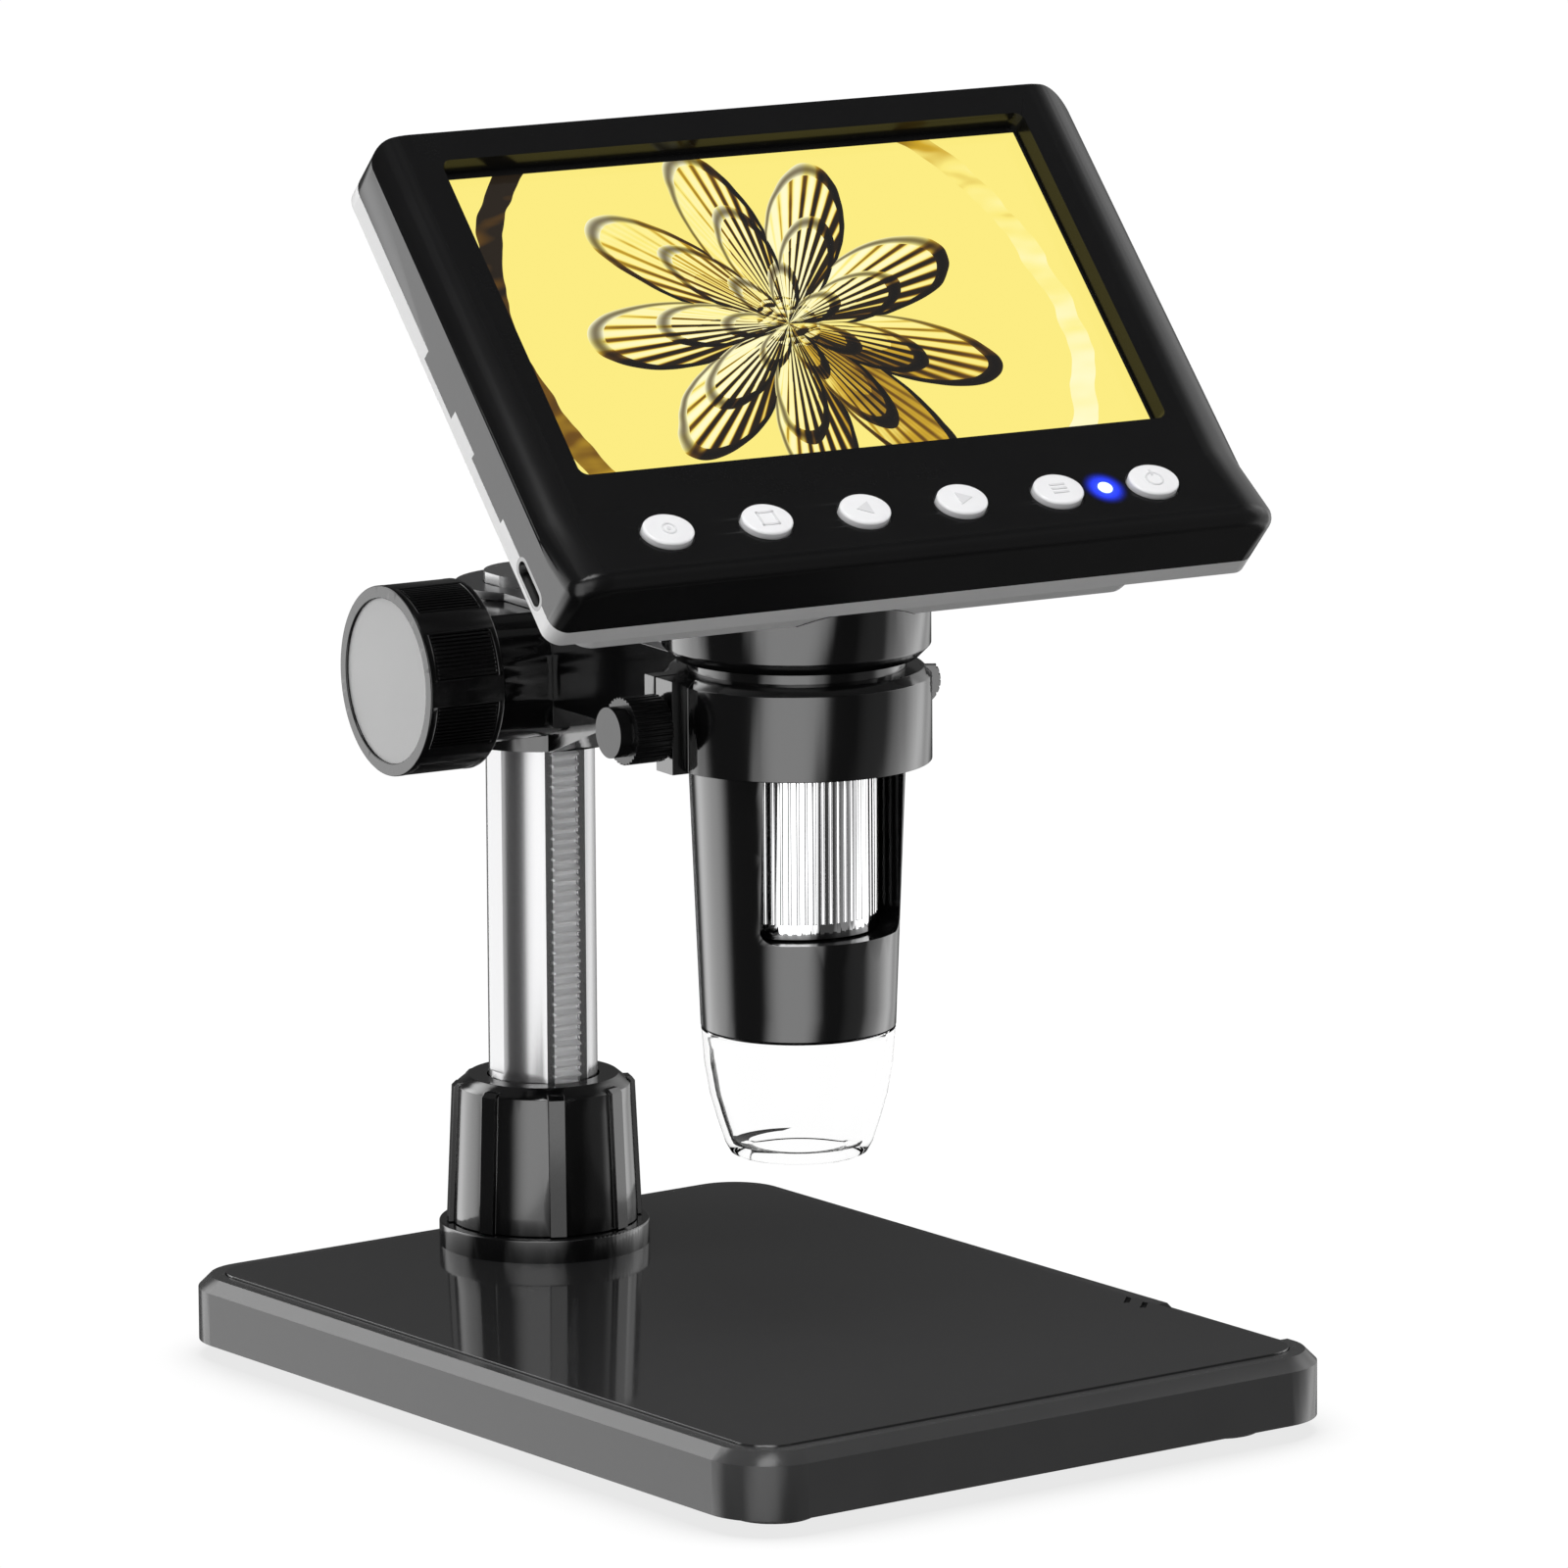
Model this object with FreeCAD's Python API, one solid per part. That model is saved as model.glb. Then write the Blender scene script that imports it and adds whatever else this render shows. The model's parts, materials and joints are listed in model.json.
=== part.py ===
"""Digital microscope with a 4.3 inch screen on a rack and pinion stand.

Millimetres, +Z up, -Y in front. The origin lies on the table under the middle of the
whole outline, and the base is drawn about its own middle, BASE_X to the right of it.
The column stands near the back edge of the base. Everything on the column is drawn
square to the column and then turned with it by HEAD_TURN.
"""
import FreeCAD
import Part
import math
import os

V = FreeCAD.Vector
X_AXIS = V(1, 0, 0)
Y_AXIS = V(0, 1, 0)
Z_AXIS = V(0, 0, 1)
ORIGIN = V(0, 0, 0)

# Fits
FIT = 0.06
GAP = 0.3
SEAT_GAP = 0.15

# Base
BASE_X = 7.03
BASE_W = 105.8
BASE_D = 145.6
BASE_CORNER_R = 9.7
FOOT_H = 2.5
FOOT_R = 6.0
FOOT_INSET = 13.0
FOOT_RECESS = 0.8
SLAB_H = 9.65
SLAB_CHAMFER = 1.75
SLAB_WALL = 4.0
SLAB_ROOF = 3.6
RIM_W = 2.4
STAGE_T = 1.5
STAGE_RAISE = 0.3
NOTCH_Y = (-61.8, -33.8)
NOTCH_DEPTH = 0.8
SLIT_W = 0.9
SLIT_PITCH = 3.9
SLIT_L = 4.5
BOTTOM_T = 1.5
BALLAST_T = 2.6
BALLAST_INSET = 9.0
BOTTOM_SCREW_INSET = 24.0
SCREW_R = 1.5
SCREW_HEAD_R = 2.8
SCREW_HEAD_H = 1.2
SCREW_SLOT_W = 0.6
POST_R = 3.5

# Column, its socket and the ribbed collar
COLUMN_X = 1.65
COLUMN_INSET = 18.6
HEAD_TURN = -6.1
COLUMN_R = 8.15
COLUMN_TOP = 114.6
COLUMN_FLAT = 7.42
SIDE_FLAT = 7.86
SIDE_FLAT_BOTTOM = 39.2
SOCKET_FLANGE_R = 15.8
SOCKET_FLANGE_H = 3.55
SOCKET_R = 11.0
SOCKET_FLOOR = 2.0
SOCKET_TOP = 34.5
COLLAR_BOTTOM_R = 14.0
COLLAR_TOP_R = 13.05
COLLAR_SHOULDER = 36.7
COLLAR_TOP = 38.2
COLLAR_LIP_R = 11.24
COLLAR_ROOF = 2.6
RIB_COUNT = 8
RIB_W = 2.4
RIB_H = 0.65
RIB_TURN = 24.2
BOLT_R = 3.0
BOLT_HEAD_R = 5.0
BOLT_HEAD_H = 2.4
WASHER_R = 5.2
WASHER_T = 0.8

# Rack and pinion
MODULE = 0.5
PINION_TEETH = 18
BACKLASH = 0.16
RACK_W = 4.3
RACK_BOTTOM = 36.0
RACK_BACK = 1.4
PINION_W = 4.0
AXLE_R = 2.5
BUSH_R = 3.5
PINION_Z = 102.7

# Carriage
SLEEVE_R = 12.5
HOUSING_HALF_W = 10.0
HOUSING_FRONT = 22.0
CARRIAGE_BOTTOM = 89.3
HOUSING_BOTTOM = 95.0
GUSSET_HALF_W = 5.0
GUSSET_BACK = 12.0
GUSSET_FRONT = 36.0
HUB_R = 10.6
HUB_X = 19.4
PLATE_T = 1.2
PAD_R = 2.5
PAD_Z = (94.0, 107.0)
PLATE_SCREW_R = 1.1
PLATE_SCREW_HEAD_R = 2.0
PLATE_SCREW_HEAD_H = 0.7
PLATE_SCREW_L = 5.0

# Height knob
KNOB_R = 14.05
KNOB_X = 20.1
KNOB_L = 12.3
KNOB_WALL = 2.2
KNOB_WEB = 3.0
KNOB_BOSS_R = 6.0
KNOB_LANDS = 8
KNOB_LAND_ANGLE = 17.0
KNOB_FIELD_DEPTH = 0.45
DISC_R = 12.2
DISC_T = 1.2
DISC_SINK = 0.4
NUT_R = 4.5
NUT_L = 3.0

# Arm and clamp ring
ARM_REACH = 75.7
ARM_BACK = 22.0
RING_R = 19.4
RING_BOTTOM = 98.3
RING_TOP = 111.8
RING_LIP = 1.2
PAD_FACE_X = 21.85
PAD_FACE_W = 4.7
CHEEK_W = 2.7
CHEEK_GAP = 0.5
CHEEK_SHORT = 1.6
ARM_SCREW_X = 3.0
ARM_SCREW_Y = 27.0
ARM_SCREW_HEAD_H = 2.0
ARM_SCREW_GRIP = 2.6
CLAMP_SCREW_R = 2.0
CLAMP_SCREW_Z = 105.0
CLAMP_HEAD_X = 23.0
CLAMP_HEAD_R = 4.85
CLAMP_HEAD_L = 5.8
CLAMP_HUB_R = 3.65
CLAMP_HUB_L = 2.2
CLAMP_FLUTES = 36
CLAMP_FLUTE_R = 0.22
TAB_R = 3.9
TAB_T = 1.4
TAB_PROUD = 1.2
TAB_TURN = -30.0
TAB_FLUTES = 24
TAB_FLUTE_R = 0.2
TAB_DEPTH = 1.6
TAB_Z = 109.6

# Tube below the neck
TUBE_R_TOP = 15.6
TUBE_R_BOTTOM = 14.07
TUBE_TAPER_TOP = 98.0
TUBE_BOTTOM = 59.1
TUBE_EDGE = 0.5
TUBE_BORE = 11.75
WINDOW_HALF_W = 11.6
WINDOW_BOTTOM = 73.7
WINDOW_TOP = 104.0
WINDOW_R = 2.0
SHELF_T = 3.2
WHEEL_R = 11.4
WHEEL_TOP = 103.4
WHEEL_RIM_H = 2.1
WHEEL_GROOVES = 60
WHEEL_GROOVE_R = 0.28
BARREL_R = 7.5
BARREL_BORE = 5.9
BARREL_BOTTOM = 66.0
BARREL_TOP = 110.0
BARREL_STEP = 1.0
BARREL_MOUTH = 5.0
LENS_T = 2.4
LENS_BALL_R = 14.0
REAR_LENS_Z = 84.0
SPACER_WALL = 0.8
GUIDE_Z = 104.3
GUIDE_T = 2.4
KEY_W = 1.6
KEY_H = 0.9
KEY_L = 4.0
KEY_RISE = 0.9

# Clear hood and its light ring
HOOD_WALL = 1.3
HOOD_SPIGOT_H = 3.5
HOOD_PROFILE = ((14.0, 59.1), (13.86, 57.8), (13.56, 53.9), (12.79, 49.4), (11.74, 45.7),
                (10.66, 42.4), (9.9, 41.0), (9.0, 40.6))
HOOD_MOUTH_R = 6.8
LED_BOARD_T = 1.2
LED_BOARD_HOLE = 6.5
LED_COUNT = 8
LED_RING_R = 9.0
LED_R = 1.0
LED_H = 1.0

# Neck between the tube and the screen
NECK_R = 19.3
NECK_BOTTOM = 113.4
NECK_CHAMFER = 1.75
NECK_WALL = 2.4
NECK_FLOOR = 2.4
NECK_TOP = 176.0
NECK_HOLE = 9.0
NECK_SCREW_X = 13.7
NECK_SCREW_COUNT = 3
NECK_SCREW_TURN = 90
NECK_SCREW_R = 0.7
NECK_SCREW_HEAD_R = 1.3
NECK_SCREW_HEAD_H = 1.0
NECK_SCREW_L = 5.0
SENSOR_BOARD_R = 13.0
SENSOR_BOARD_T = 1.4
SENSOR_SIDE = 8.0
SENSOR_H = 1.4

# Screen housing, drawn with u to the right, v up the slope and w out of the glass
TILT = 45.36
SCREEN_Y = -3.3
SCREEN_Z = 166.4
PANEL_U = 105.4
PANEL_V = 60.6
PANEL_T = 1.2
PANEL_SIDE = 4.8
PANEL_ABOVE = 2.7
PANEL_BELOW = 4.2
PANEL_COVERED_U = 4.7
PANEL_COVERED_V = 2.3
CHIN_L = 14.0
SEAM_W = -8.1
REAR_W = -12.0
SHELL_WALL = 2.0
TOP_CORNER_R = 4.0
BOTTOM_CORNER_R = 2.6
CHIN_EDGE_R = 2.3
ROLL_IN = 6.5
ROLL_DROP = 2.3
CHIN_ANGLE = 11.8
OPENING_R = 1.5
LIP_W = 2.0
GLASS_DEPTH = 3.4
BACKLIGHT_T = 1.9
BOARD_SHORT_U = 3.7
BOARD_SHORT_V = 4.3
BOARD_T = 1.4
BOARD_POST_R = 2.0
BOARD_POST_U = 40.0
BOARD_POST_V = (20.0, 4.0)
HUMP_SIDE = 8.5
HUMP_ABOVE = 4.5
HUMP_L = 39.0
HUMP_W = -23.0
HUMP_DRAFT = 2.5
HUMP_R = 5.0
BATTERY_U = 60.0
BATTERY_V = 28.0
BATTERY_T = 6.0
BATTERY_R = 2.0
COVER_SCREW_SIDE = 5.9
COVER_SCREW_ABOVE = 10.5
COVER_SCREW_R = 1.1
COVER_SCREW_HEAD_R = 2.0
COVER_SCREW_HEAD_H = 1.0
COVER_SCREW_L = 7.0
BOSS_R = 2.4
SKIRT_TABS = ((-9.5, 1.2, 1.7), (-28.4, -17.0, 1.0))
SKIRT_T = 1.0
PORT_ABOVE = 9.2
PORT_W = -8.7
PORT_L = 8.6
PORT_H = 3.4
PORT_WALL = 0.6
PORT_DEPTH = 3.4
PORT_TONGUE = 1.0

# Buttons on the chin
BUTTON_NAMES = ("capture_button", "confirm_button", "up_button", "down_button", "menu_button", "power_button")
BUTTON_PITCH = 15.85
BUTTON_V = -5.5
BUTTON_A = 3.9
BUTTON_B = 3.2
BUTTON_PROUD = 0.9
BUTTON_FLANGE = 0.8
BUTTON_FLANGE_T = 0.8
BUTTON_SEAT = 0.1
BUTTON_TRAVEL = 0.5
SWITCH_SIDE = 4.4
SWITCH_H = 1.2
BUTTON_BOARD_T = 1.0
BUTTON_BOARD_HALF_U = 48.0
BUTTON_BOARD_V = 9.0
BOARD_PIN_U = 46.6
BOARD_PIN_R = 1.2
LED_U = 31.7
STATUS_LED_R = 1.1
STATUS_LED_PROUD = 0.2

COLUMN_Y = BASE_D / 2 - COLUMN_INSET
HALF_U = PANEL_U / 2 + PANEL_SIDE
TOP_V = PANEL_V / 2 + PANEL_ABOVE
CHIN_V = -PANEL_V / 2 - PANEL_BELOW
BOTTOM_V = CHIN_V - CHIN_L
OPENING_U = PANEL_U - 2 * PANEL_COVERED_U
OPENING_V = PANEL_V - 2 * PANEL_COVERED_V
BOARD_U = PANEL_U - 2 * BOARD_SHORT_U
BOARD_V = PANEL_V - 2 * BOARD_SHORT_V
HUMP_HALF_U = HALF_U - HUMP_SIDE
HUMP_BOTTOM_V = BOTTOM_V + HUMP_ABOVE
HUMP_TOP_V = HUMP_BOTTOM_V + HUMP_L
COVER_SCREW_U = HALF_U - COVER_SCREW_SIDE
COVER_SCREW_V = BOTTOM_V + COVER_SCREW_ABOVE
PORT_V = BOTTOM_V + PORT_ABOVE
SLAB_TOP = FOOT_H + SLAB_H
SLAB_INNER_ROOF = SLAB_TOP - SLAB_ROOF
STAGE_TOP = SLAB_TOP + STAGE_RAISE
STAGE_BOTTOM = STAGE_TOP - STAGE_T
BOLT_HEAD_Z = FOOT_H + BOTTOM_T
BOLT_SEAT_Z = BOLT_HEAD_Z + BOLT_HEAD_H + WASHER_T
SOCKET_FLOOR_Z = STAGE_TOP + SOCKET_FLOOR
FLANGE_TOP = STAGE_TOP + SOCKET_FLANGE_H
BORE_R = COLUMN_R + FIT
PITCH = math.pi * MODULE
PINION_PITCH_R = MODULE * PINION_TEETH / 2
RACK_CREST = COLUMN_FLAT + MODULE
RACK_ROOT = COLUMN_FLAT - 1.25 * MODULE
PINION_Y = -(COLUMN_FLAT + PINION_PITCH_R)
PLATE_TOP = RING_TOP + PLATE_T
LED_BOARD_Z = TUBE_BOTTOM + HOOD_SPIGOT_H
SHELF_TOP = WINDOW_BOTTOM
WHEEL_BOTTOM = WINDOW_BOTTOM + GAP
NECK_FLOOR_TOP = NECK_BOTTOM + NECK_FLOOR
PANEL_W = -GLASS_DEPTH
BACKLIGHT_W = PANEL_W - PANEL_T
BOARD_W = BACKLIGHT_W - BACKLIGHT_T
BUTTON_UNDER = -SHELL_WALL - BUTTON_SEAT - BUTTON_FLANGE_T
SWITCH_TOP = BUTTON_UNDER - BUTTON_TRAVEL
BUTTON_BOARD_TOP = SWITCH_TOP - SWITCH_H


def tube(r_out, r_in, z0, z1):
    """Hollow cylinder about Z."""
    return Part.makeCylinder(r_out, z1 - z0, V(0, 0, z0)).cut(
        Part.makeCylinder(r_in, z1 - z0 + 2, V(0, 0, z0 - 1)))


def disc(r, z0, z1, x=0.0, y=0.0):
    """Upright cylinder."""
    return Part.makeCylinder(r, z1 - z0, V(x, y, z0))


def rod_x(r, x0, x1, y, z):
    """Cylinder along X from x0 to x1."""
    return Part.makeCylinder(r, x1 - x0, V(x0, y, z), X_AXIS)


def block(x0, x1, y0, y1, z0, z1):
    """Box between two corners."""
    return Part.makeBox(x1 - x0, y1 - y0, z1 - z0, V(x0, y0, z0))


def rounded_outline(half_x, y0, y1, r_low, r_high, z):
    """Closed wire of a rectangle with rounded corners, the radii given for its low and high y."""
    edges = []
    corners = ((-half_x, y0, r_low, 180), (half_x, y0, r_low, 270),
               (half_x, y1, r_high, 0), (-half_x, y1, r_high, 90))
    centres = [(x - math.copysign(r, x), y0 + r if y == y0 else y1 - r, r, a) for x, y, r, a in corners]
    for i, (cx, cy, r, start) in enumerate(centres):
        nx, ny, nr, nstart = centres[(i + 1) % 4]
        edges.append(Part.makeCircle(r, V(cx, cy, z), Z_AXIS, start, start + 90))
        end = math.radians(start + 90)
        begin = math.radians(nstart)
        edges.append(Part.makeLine(V(cx + r * math.cos(end), cy + r * math.sin(end), z),
                                   V(nx + nr * math.cos(begin), ny + nr * math.sin(begin), z)))
    return Part.Wire(edges)


def rounded_block(half_x, y0, y1, z0, z1, r, r_high=None):
    """Box with rounded vertical edges."""
    wire = rounded_outline(half_x, y0, y1, r, r if r_high is None else r_high, z0)
    return Part.Face(wire).extrude(V(0, 0, z1 - z0))


def oval(a, b, z0, z1, x=0.0, y=0.0):
    """Upright elliptical disc, a along X and b along Y, with a the larger."""
    face = Part.Face(Part.Wire(Part.Ellipse(ORIGIN, a, b).toShape()))
    face.translate(V(x, y, z0))
    return face.extrude(V(0, 0, z1 - z0))


def revolve(points):
    """Solid of revolution about Z from a closed list of (radius, height)."""
    ring = [V(r, 0, z) for r, z in points]
    face = Part.Face(Part.makePolygon(ring + ring[:1]))
    return face.revolve(ORIGIN, Z_AXIS, 360)


def extrude_yz(points, x0, x1):
    """Prism along X from a closed list of (y, z)."""
    ring = [V(x0, y, z) for y, z in points]
    return Part.Face(Part.makePolygon(ring + ring[:1])).extrude(V(x1 - x0, 0, 0))


def spin_copies(shape, count, start=0.0):
    """The shape repeated around Z."""
    copies = []
    for i in range(count):
        copy = shape.copy()
        copy.rotate(ORIGIN, Z_AXIS, start + 360.0 * i / count)
        copies.append(copy)
    return copies


def lay_along_x(shape, x, y, z):
    """Turn a shape drawn about Z, top outward, so that its top points to -X, and move it."""
    shape = shape.copy()
    shape.rotate(ORIGIN, Y_AXIS, -90)
    shape.translate(V(x, y, z))
    return shape


def to_column(shape):
    """Place a shape drawn about the column axis."""
    shape = shape.copy()
    shape.rotate(ORIGIN, Z_AXIS, HEAD_TURN)
    shape.translate(V(COLUMN_X, COLUMN_Y, 0))
    return shape


def to_tube(shape):
    """Place a shape drawn about the microscope tube's axis."""
    shape = shape.copy()
    shape.translate(V(0, -ARM_REACH, 0))
    return to_column(shape)


def tilt_screen(shape):
    """Turn a shape drawn in u, v, w into the tube's axes."""
    shape = shape.copy()
    shape.rotate(ORIGIN, X_AXIS, 90 - TILT)
    shape.translate(V(0, SCREEN_Y, SCREEN_Z))
    return shape


def to_screen(shape):
    """Place a shape drawn in the screen's u, v, w."""
    return to_tube(tilt_screen(shape))


def tilt_chin(shape):
    """Turn a shape drawn on the chin's face into u, v, w."""
    shape = shape.copy()
    shape.rotate(ORIGIN, X_AXIS, -CHIN_ANGLE)
    shape.translate(V(0, CHIN_V, 0))
    return shape


def slotted_screw(r, head_r, head_h, length, slot_w):
    """Screw about Z with its head's top face at z = 0 and its shank pointing down."""
    screw = disc(head_r, -head_h, 0).fuse(disc(r, -head_h - length, -head_h))
    slot = block(-head_r, head_r, -slot_w / 2, slot_w / 2, -head_h / 2, 1)
    return screw.removeSplitter().cut(slot)


def flip(shape):
    """Turn a shape upside down about X."""
    shape = shape.copy()
    shape.rotate(ORIGIN, X_AXIS, 180)
    return shape


def at(shape, x, y, z):
    """Copy of the shape moved by x, y, z."""
    shape = shape.copy()
    shape.translate(V(x, y, z))
    return shape


# Base

def four_places(inset):
    """Four points on the base, set in from its sides by the same amount."""
    x = BASE_W / 2 - inset
    y = BASE_D / 2 - inset
    return [(sx * x, sy * y) for sx in (-1, 1) for sy in (-1, 1)]


def base_slab():
    """Hollow slab with a recess for the stage plate and a boss under the column."""
    half_w = BASE_W / 2
    half_d = BASE_D / 2
    body = rounded_block(half_w, -half_d, half_d, FOOT_H, SLAB_TOP, BASE_CORNER_R)
    body = body.makeChamfer(SLAB_CHAMFER, [e for e in body.Edges if e.BoundBox.ZMin > SLAB_TOP - 0.01])
    inset = SLAB_CHAMFER + RIM_W - SEAT_GAP
    recess = rounded_block(half_w - inset, inset - half_d, half_d - inset, STAGE_BOTTOM, SLAB_TOP + 1,
                           BASE_CORNER_R - inset)
    hollow = rounded_block(half_w - SLAB_WALL, SLAB_WALL - half_d, half_d - SLAB_WALL, FOOT_H - 1,
                           SLAB_INNER_ROOF, BASE_CORNER_R - SLAB_WALL)
    under = FOOT_H + BOTTOM_T
    pillars = [disc(SOCKET_FLANGE_R, under, SLAB_INNER_ROOF, COLUMN_X, COLUMN_Y)]
    pillars += [disc(POST_R, under, SLAB_INNER_ROOF, x, y) for x, y in four_places(BOTTOM_SCREW_INSET)]
    cuts = [disc(BOLT_R + GAP, under, SLAB_TOP, COLUMN_X, COLUMN_Y),
            disc(WASHER_R + GAP, under, BOLT_SEAT_Z, COLUMN_X, COLUMN_Y)]
    cuts += [disc(SCREW_R, under, SLAB_INNER_ROOF, x, y) for x, y in four_places(BOTTOM_SCREW_INSET)]
    notch_z = SLAB_TOP - NOTCH_DEPTH
    cuts.append(block(half_w - inset, half_w + 1, NOTCH_Y[0], NOTCH_Y[1], notch_z, SLAB_TOP + 1))
    return body.cut(recess).cut(hollow.cut(pillars)).cut(cuts)


def stage_plate():
    """Raised plate that the sample lies on, with two short slits at its right edge."""
    inset = SLAB_CHAMFER + RIM_W
    half_w = BASE_W / 2 - inset
    half_d = BASE_D / 2 - inset
    body = rounded_block(half_w, -half_d, half_d, STAGE_BOTTOM, STAGE_TOP, BASE_CORNER_R - inset)
    cuts = [disc(BOLT_R + GAP, STAGE_BOTTOM - 1, STAGE_TOP + 1, COLUMN_X, COLUMN_Y)]
    for i in range(2):
        slit = block(-SLIT_L, SLIT_L, -SLIT_W / 2, SLIT_W / 2, STAGE_TOP - STAGE_T / 2, STAGE_TOP + 1)
        slit.rotate(ORIGIN, Z_AXIS, 45)
        cuts.append(at(slit, half_w, NOTCH_Y[1] + (i + 0.5) * SLIT_PITCH, 0))
    return body.cut(cuts)


def ballast_plate():
    """Steel weight under the roof of the base."""
    half_w = BASE_W / 2 - BALLAST_INSET
    half_d = BASE_D / 2 - BALLAST_INSET
    low = SLAB_INNER_ROOF - BALLAST_T
    cuts = [disc(SOCKET_FLANGE_R + GAP, low - 1, SLAB_TOP, COLUMN_X, COLUMN_Y)]
    cuts += [disc(POST_R + GAP, low - 1, SLAB_TOP, x, y) for x, y in four_places(BOTTOM_SCREW_INSET)]
    return block(-half_w, half_w, -half_d, half_d, low, SLAB_INNER_ROOF).cut(cuts)


def bottom_cover():
    """Flat cover that closes the base from below, with seats for feet and screws."""
    inset = SLAB_WALL + SEAT_GAP
    half_w = BASE_W / 2 - inset
    half_d = BASE_D / 2 - inset
    top = FOOT_H + BOTTOM_T
    body = rounded_block(half_w, -half_d, half_d, FOOT_H, top, BASE_CORNER_R - inset)
    cuts = [disc(FOOT_R, FOOT_H - 1, FOOT_H + FOOT_RECESS, x, y) for x, y in four_places(FOOT_INSET)]
    cuts += [disc(SCREW_R, FOOT_H - 1, top + 1, x, y) for x, y in four_places(BOTTOM_SCREW_INSET)]
    cuts.append(disc(BOLT_HEAD_R + GAP, FOOT_H - 1, top + 1, COLUMN_X, COLUMN_Y))
    return body.cut(cuts)


def bottom_screws():
    """Four screws under the base."""
    length = SLAB_INNER_ROOF - FOOT_H - GAP
    screw = flip(slotted_screw(SCREW_R, SCREW_HEAD_R, SCREW_HEAD_H, length, SCREW_SLOT_W))
    low = FOOT_H - SCREW_HEAD_H
    return Part.makeCompound([at(screw, x, y, low) for x, y in four_places(BOTTOM_SCREW_INSET)])


def rubber_feet():
    """Four round pads."""
    top = FOOT_H + FOOT_RECESS
    return Part.makeCompound([disc(FOOT_R, 0, top, x, y) for x, y in four_places(FOOT_INSET)])


def column_bolt():
    """Bolt that holds the socket to the base from below, with a hexagon socket."""
    head = disc(BOLT_HEAD_R, BOLT_HEAD_Z, BOLT_HEAD_Z + BOLT_HEAD_H)
    shank = disc(BOLT_R, BOLT_HEAD_Z + BOLT_HEAD_H, SOCKET_FLOOR_Z)
    hexagon = [V(BOLT_R * math.cos(math.radians(60 * i)), BOLT_R * math.sin(math.radians(60 * i)),
                 BOLT_HEAD_Z) for i in range(6)]
    key = Part.Face(Part.makePolygon(hexagon + hexagon[:1])).extrude(V(0, 0, BOLT_HEAD_H / 2))
    return to_column(head.fuse(shank).removeSplitter().cut(key))


def column_washer():
    """Washer under the bolt's head."""
    return to_column(tube(WASHER_R, BOLT_R, BOLT_HEAD_Z + BOLT_HEAD_H, BOLT_SEAT_Z))


def column_socket():
    """Flange and cup that the column stands in."""
    body = disc(SOCKET_FLANGE_R, STAGE_TOP, FLANGE_TOP).fuse(disc(SOCKET_R, STAGE_TOP, SOCKET_TOP))
    body = body.removeSplitter()
    top = [e for e in body.Edges if e.Closed and abs(e.BoundBox.ZMin - FLANGE_TOP) < 0.01
           and e.BoundBox.XMax > SOCKET_FLANGE_R - 0.01]
    body = body.makeFillet(SEAT_GAP * 2, top[:1])
    cuts = [disc(BORE_R, SOCKET_FLOOR_Z, SOCKET_TOP + 1), disc(BOLT_R, STAGE_TOP - 1, SOCKET_FLOOR_Z + 1)]
    return to_column(body.cut(cuts))


def collar():
    """Ribbed collar that turns on the socket and closes around the column."""
    low = FLANGE_TOP + SEAT_GAP
    body = revolve([(COLLAR_BOTTOM_R, low), (COLLAR_TOP_R, COLLAR_SHOULDER), (COLLAR_LIP_R, COLLAR_TOP),
                    (0, COLLAR_TOP), (0, low)])
    slope = (COLLAR_BOTTOM_R - COLLAR_TOP_R) / (COLLAR_SHOULDER - low)
    rib = extrude_yz([(0, low), (-COLLAR_BOTTOM_R - RIB_H, low), (-COLLAR_TOP_R - RIB_H, COLLAR_SHOULDER),
                      (-COLLAR_TOP_R + slope, COLLAR_SHOULDER + RIB_H), (0, COLLAR_SHOULDER + RIB_H)],
                     -RIB_W / 2, RIB_W / 2)
    body = body.fuse(spin_copies(rib, RIB_COUNT, RIB_TURN)).removeSplitter()
    cuts = [disc(SOCKET_R + FIT, low - 1, COLLAR_TOP - COLLAR_ROOF),
            disc(COLUMN_R + GAP, low, COLLAR_TOP + 1)]
    return to_column(body.cut(cuts))


# Column

def column():
    """Round rod with a slotted flat in front for the rack and a narrow flat on each side."""
    low = SOCKET_FLOOR_Z + BUTTON_SEAT
    body = disc(COLUMN_R, low, COLUMN_TOP)
    wide = COLUMN_R + 1
    cuts = [block(-wide, wide, -wide, -COLUMN_FLAT, RACK_BOTTOM, COLUMN_TOP + 1),
            block(-RACK_W / 2, RACK_W / 2, -wide, -RACK_ROOT + RACK_BACK, RACK_BOTTOM, COLUMN_TOP + 1)]
    for x0, x1 in ((-wide, -SIDE_FLAT), (SIDE_FLAT, wide)):
        cuts.append(block(x0, x1, -wide, wide, SIDE_FLAT_BOTTOM, COLUMN_TOP + 1))
    return to_column(body.cut(cuts))


def rack():
    """Toothed strip let into the front of the column, a tooth gap level with the pinion."""
    tan20 = math.tan(math.radians(20))
    half = PITCH / 4 - BACKLASH / 2
    out = half - MODULE * tan20
    root = half + (COLUMN_FLAT - RACK_ROOT) * tan20
    low = PINION_Z - math.floor((PINION_Z - RACK_BOTTOM) / PITCH) * PITCH
    points = [(-RACK_ROOT + RACK_BACK, COLUMN_TOP), (-RACK_ROOT + RACK_BACK, RACK_BOTTOM),
              (-RACK_ROOT, RACK_BOTTOM)]
    centre = low + PITCH / 2
    while centre + root < COLUMN_TOP:
        points += [(-RACK_ROOT, centre - root), (-RACK_CREST, centre - out), (-RACK_CREST, centre + out),
                   (-RACK_ROOT, centre + root)]
        centre += PITCH
    points.append((-RACK_ROOT, COLUMN_TOP))
    return to_column(extrude_yz(points, -RACK_W / 2, RACK_W / 2))


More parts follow.
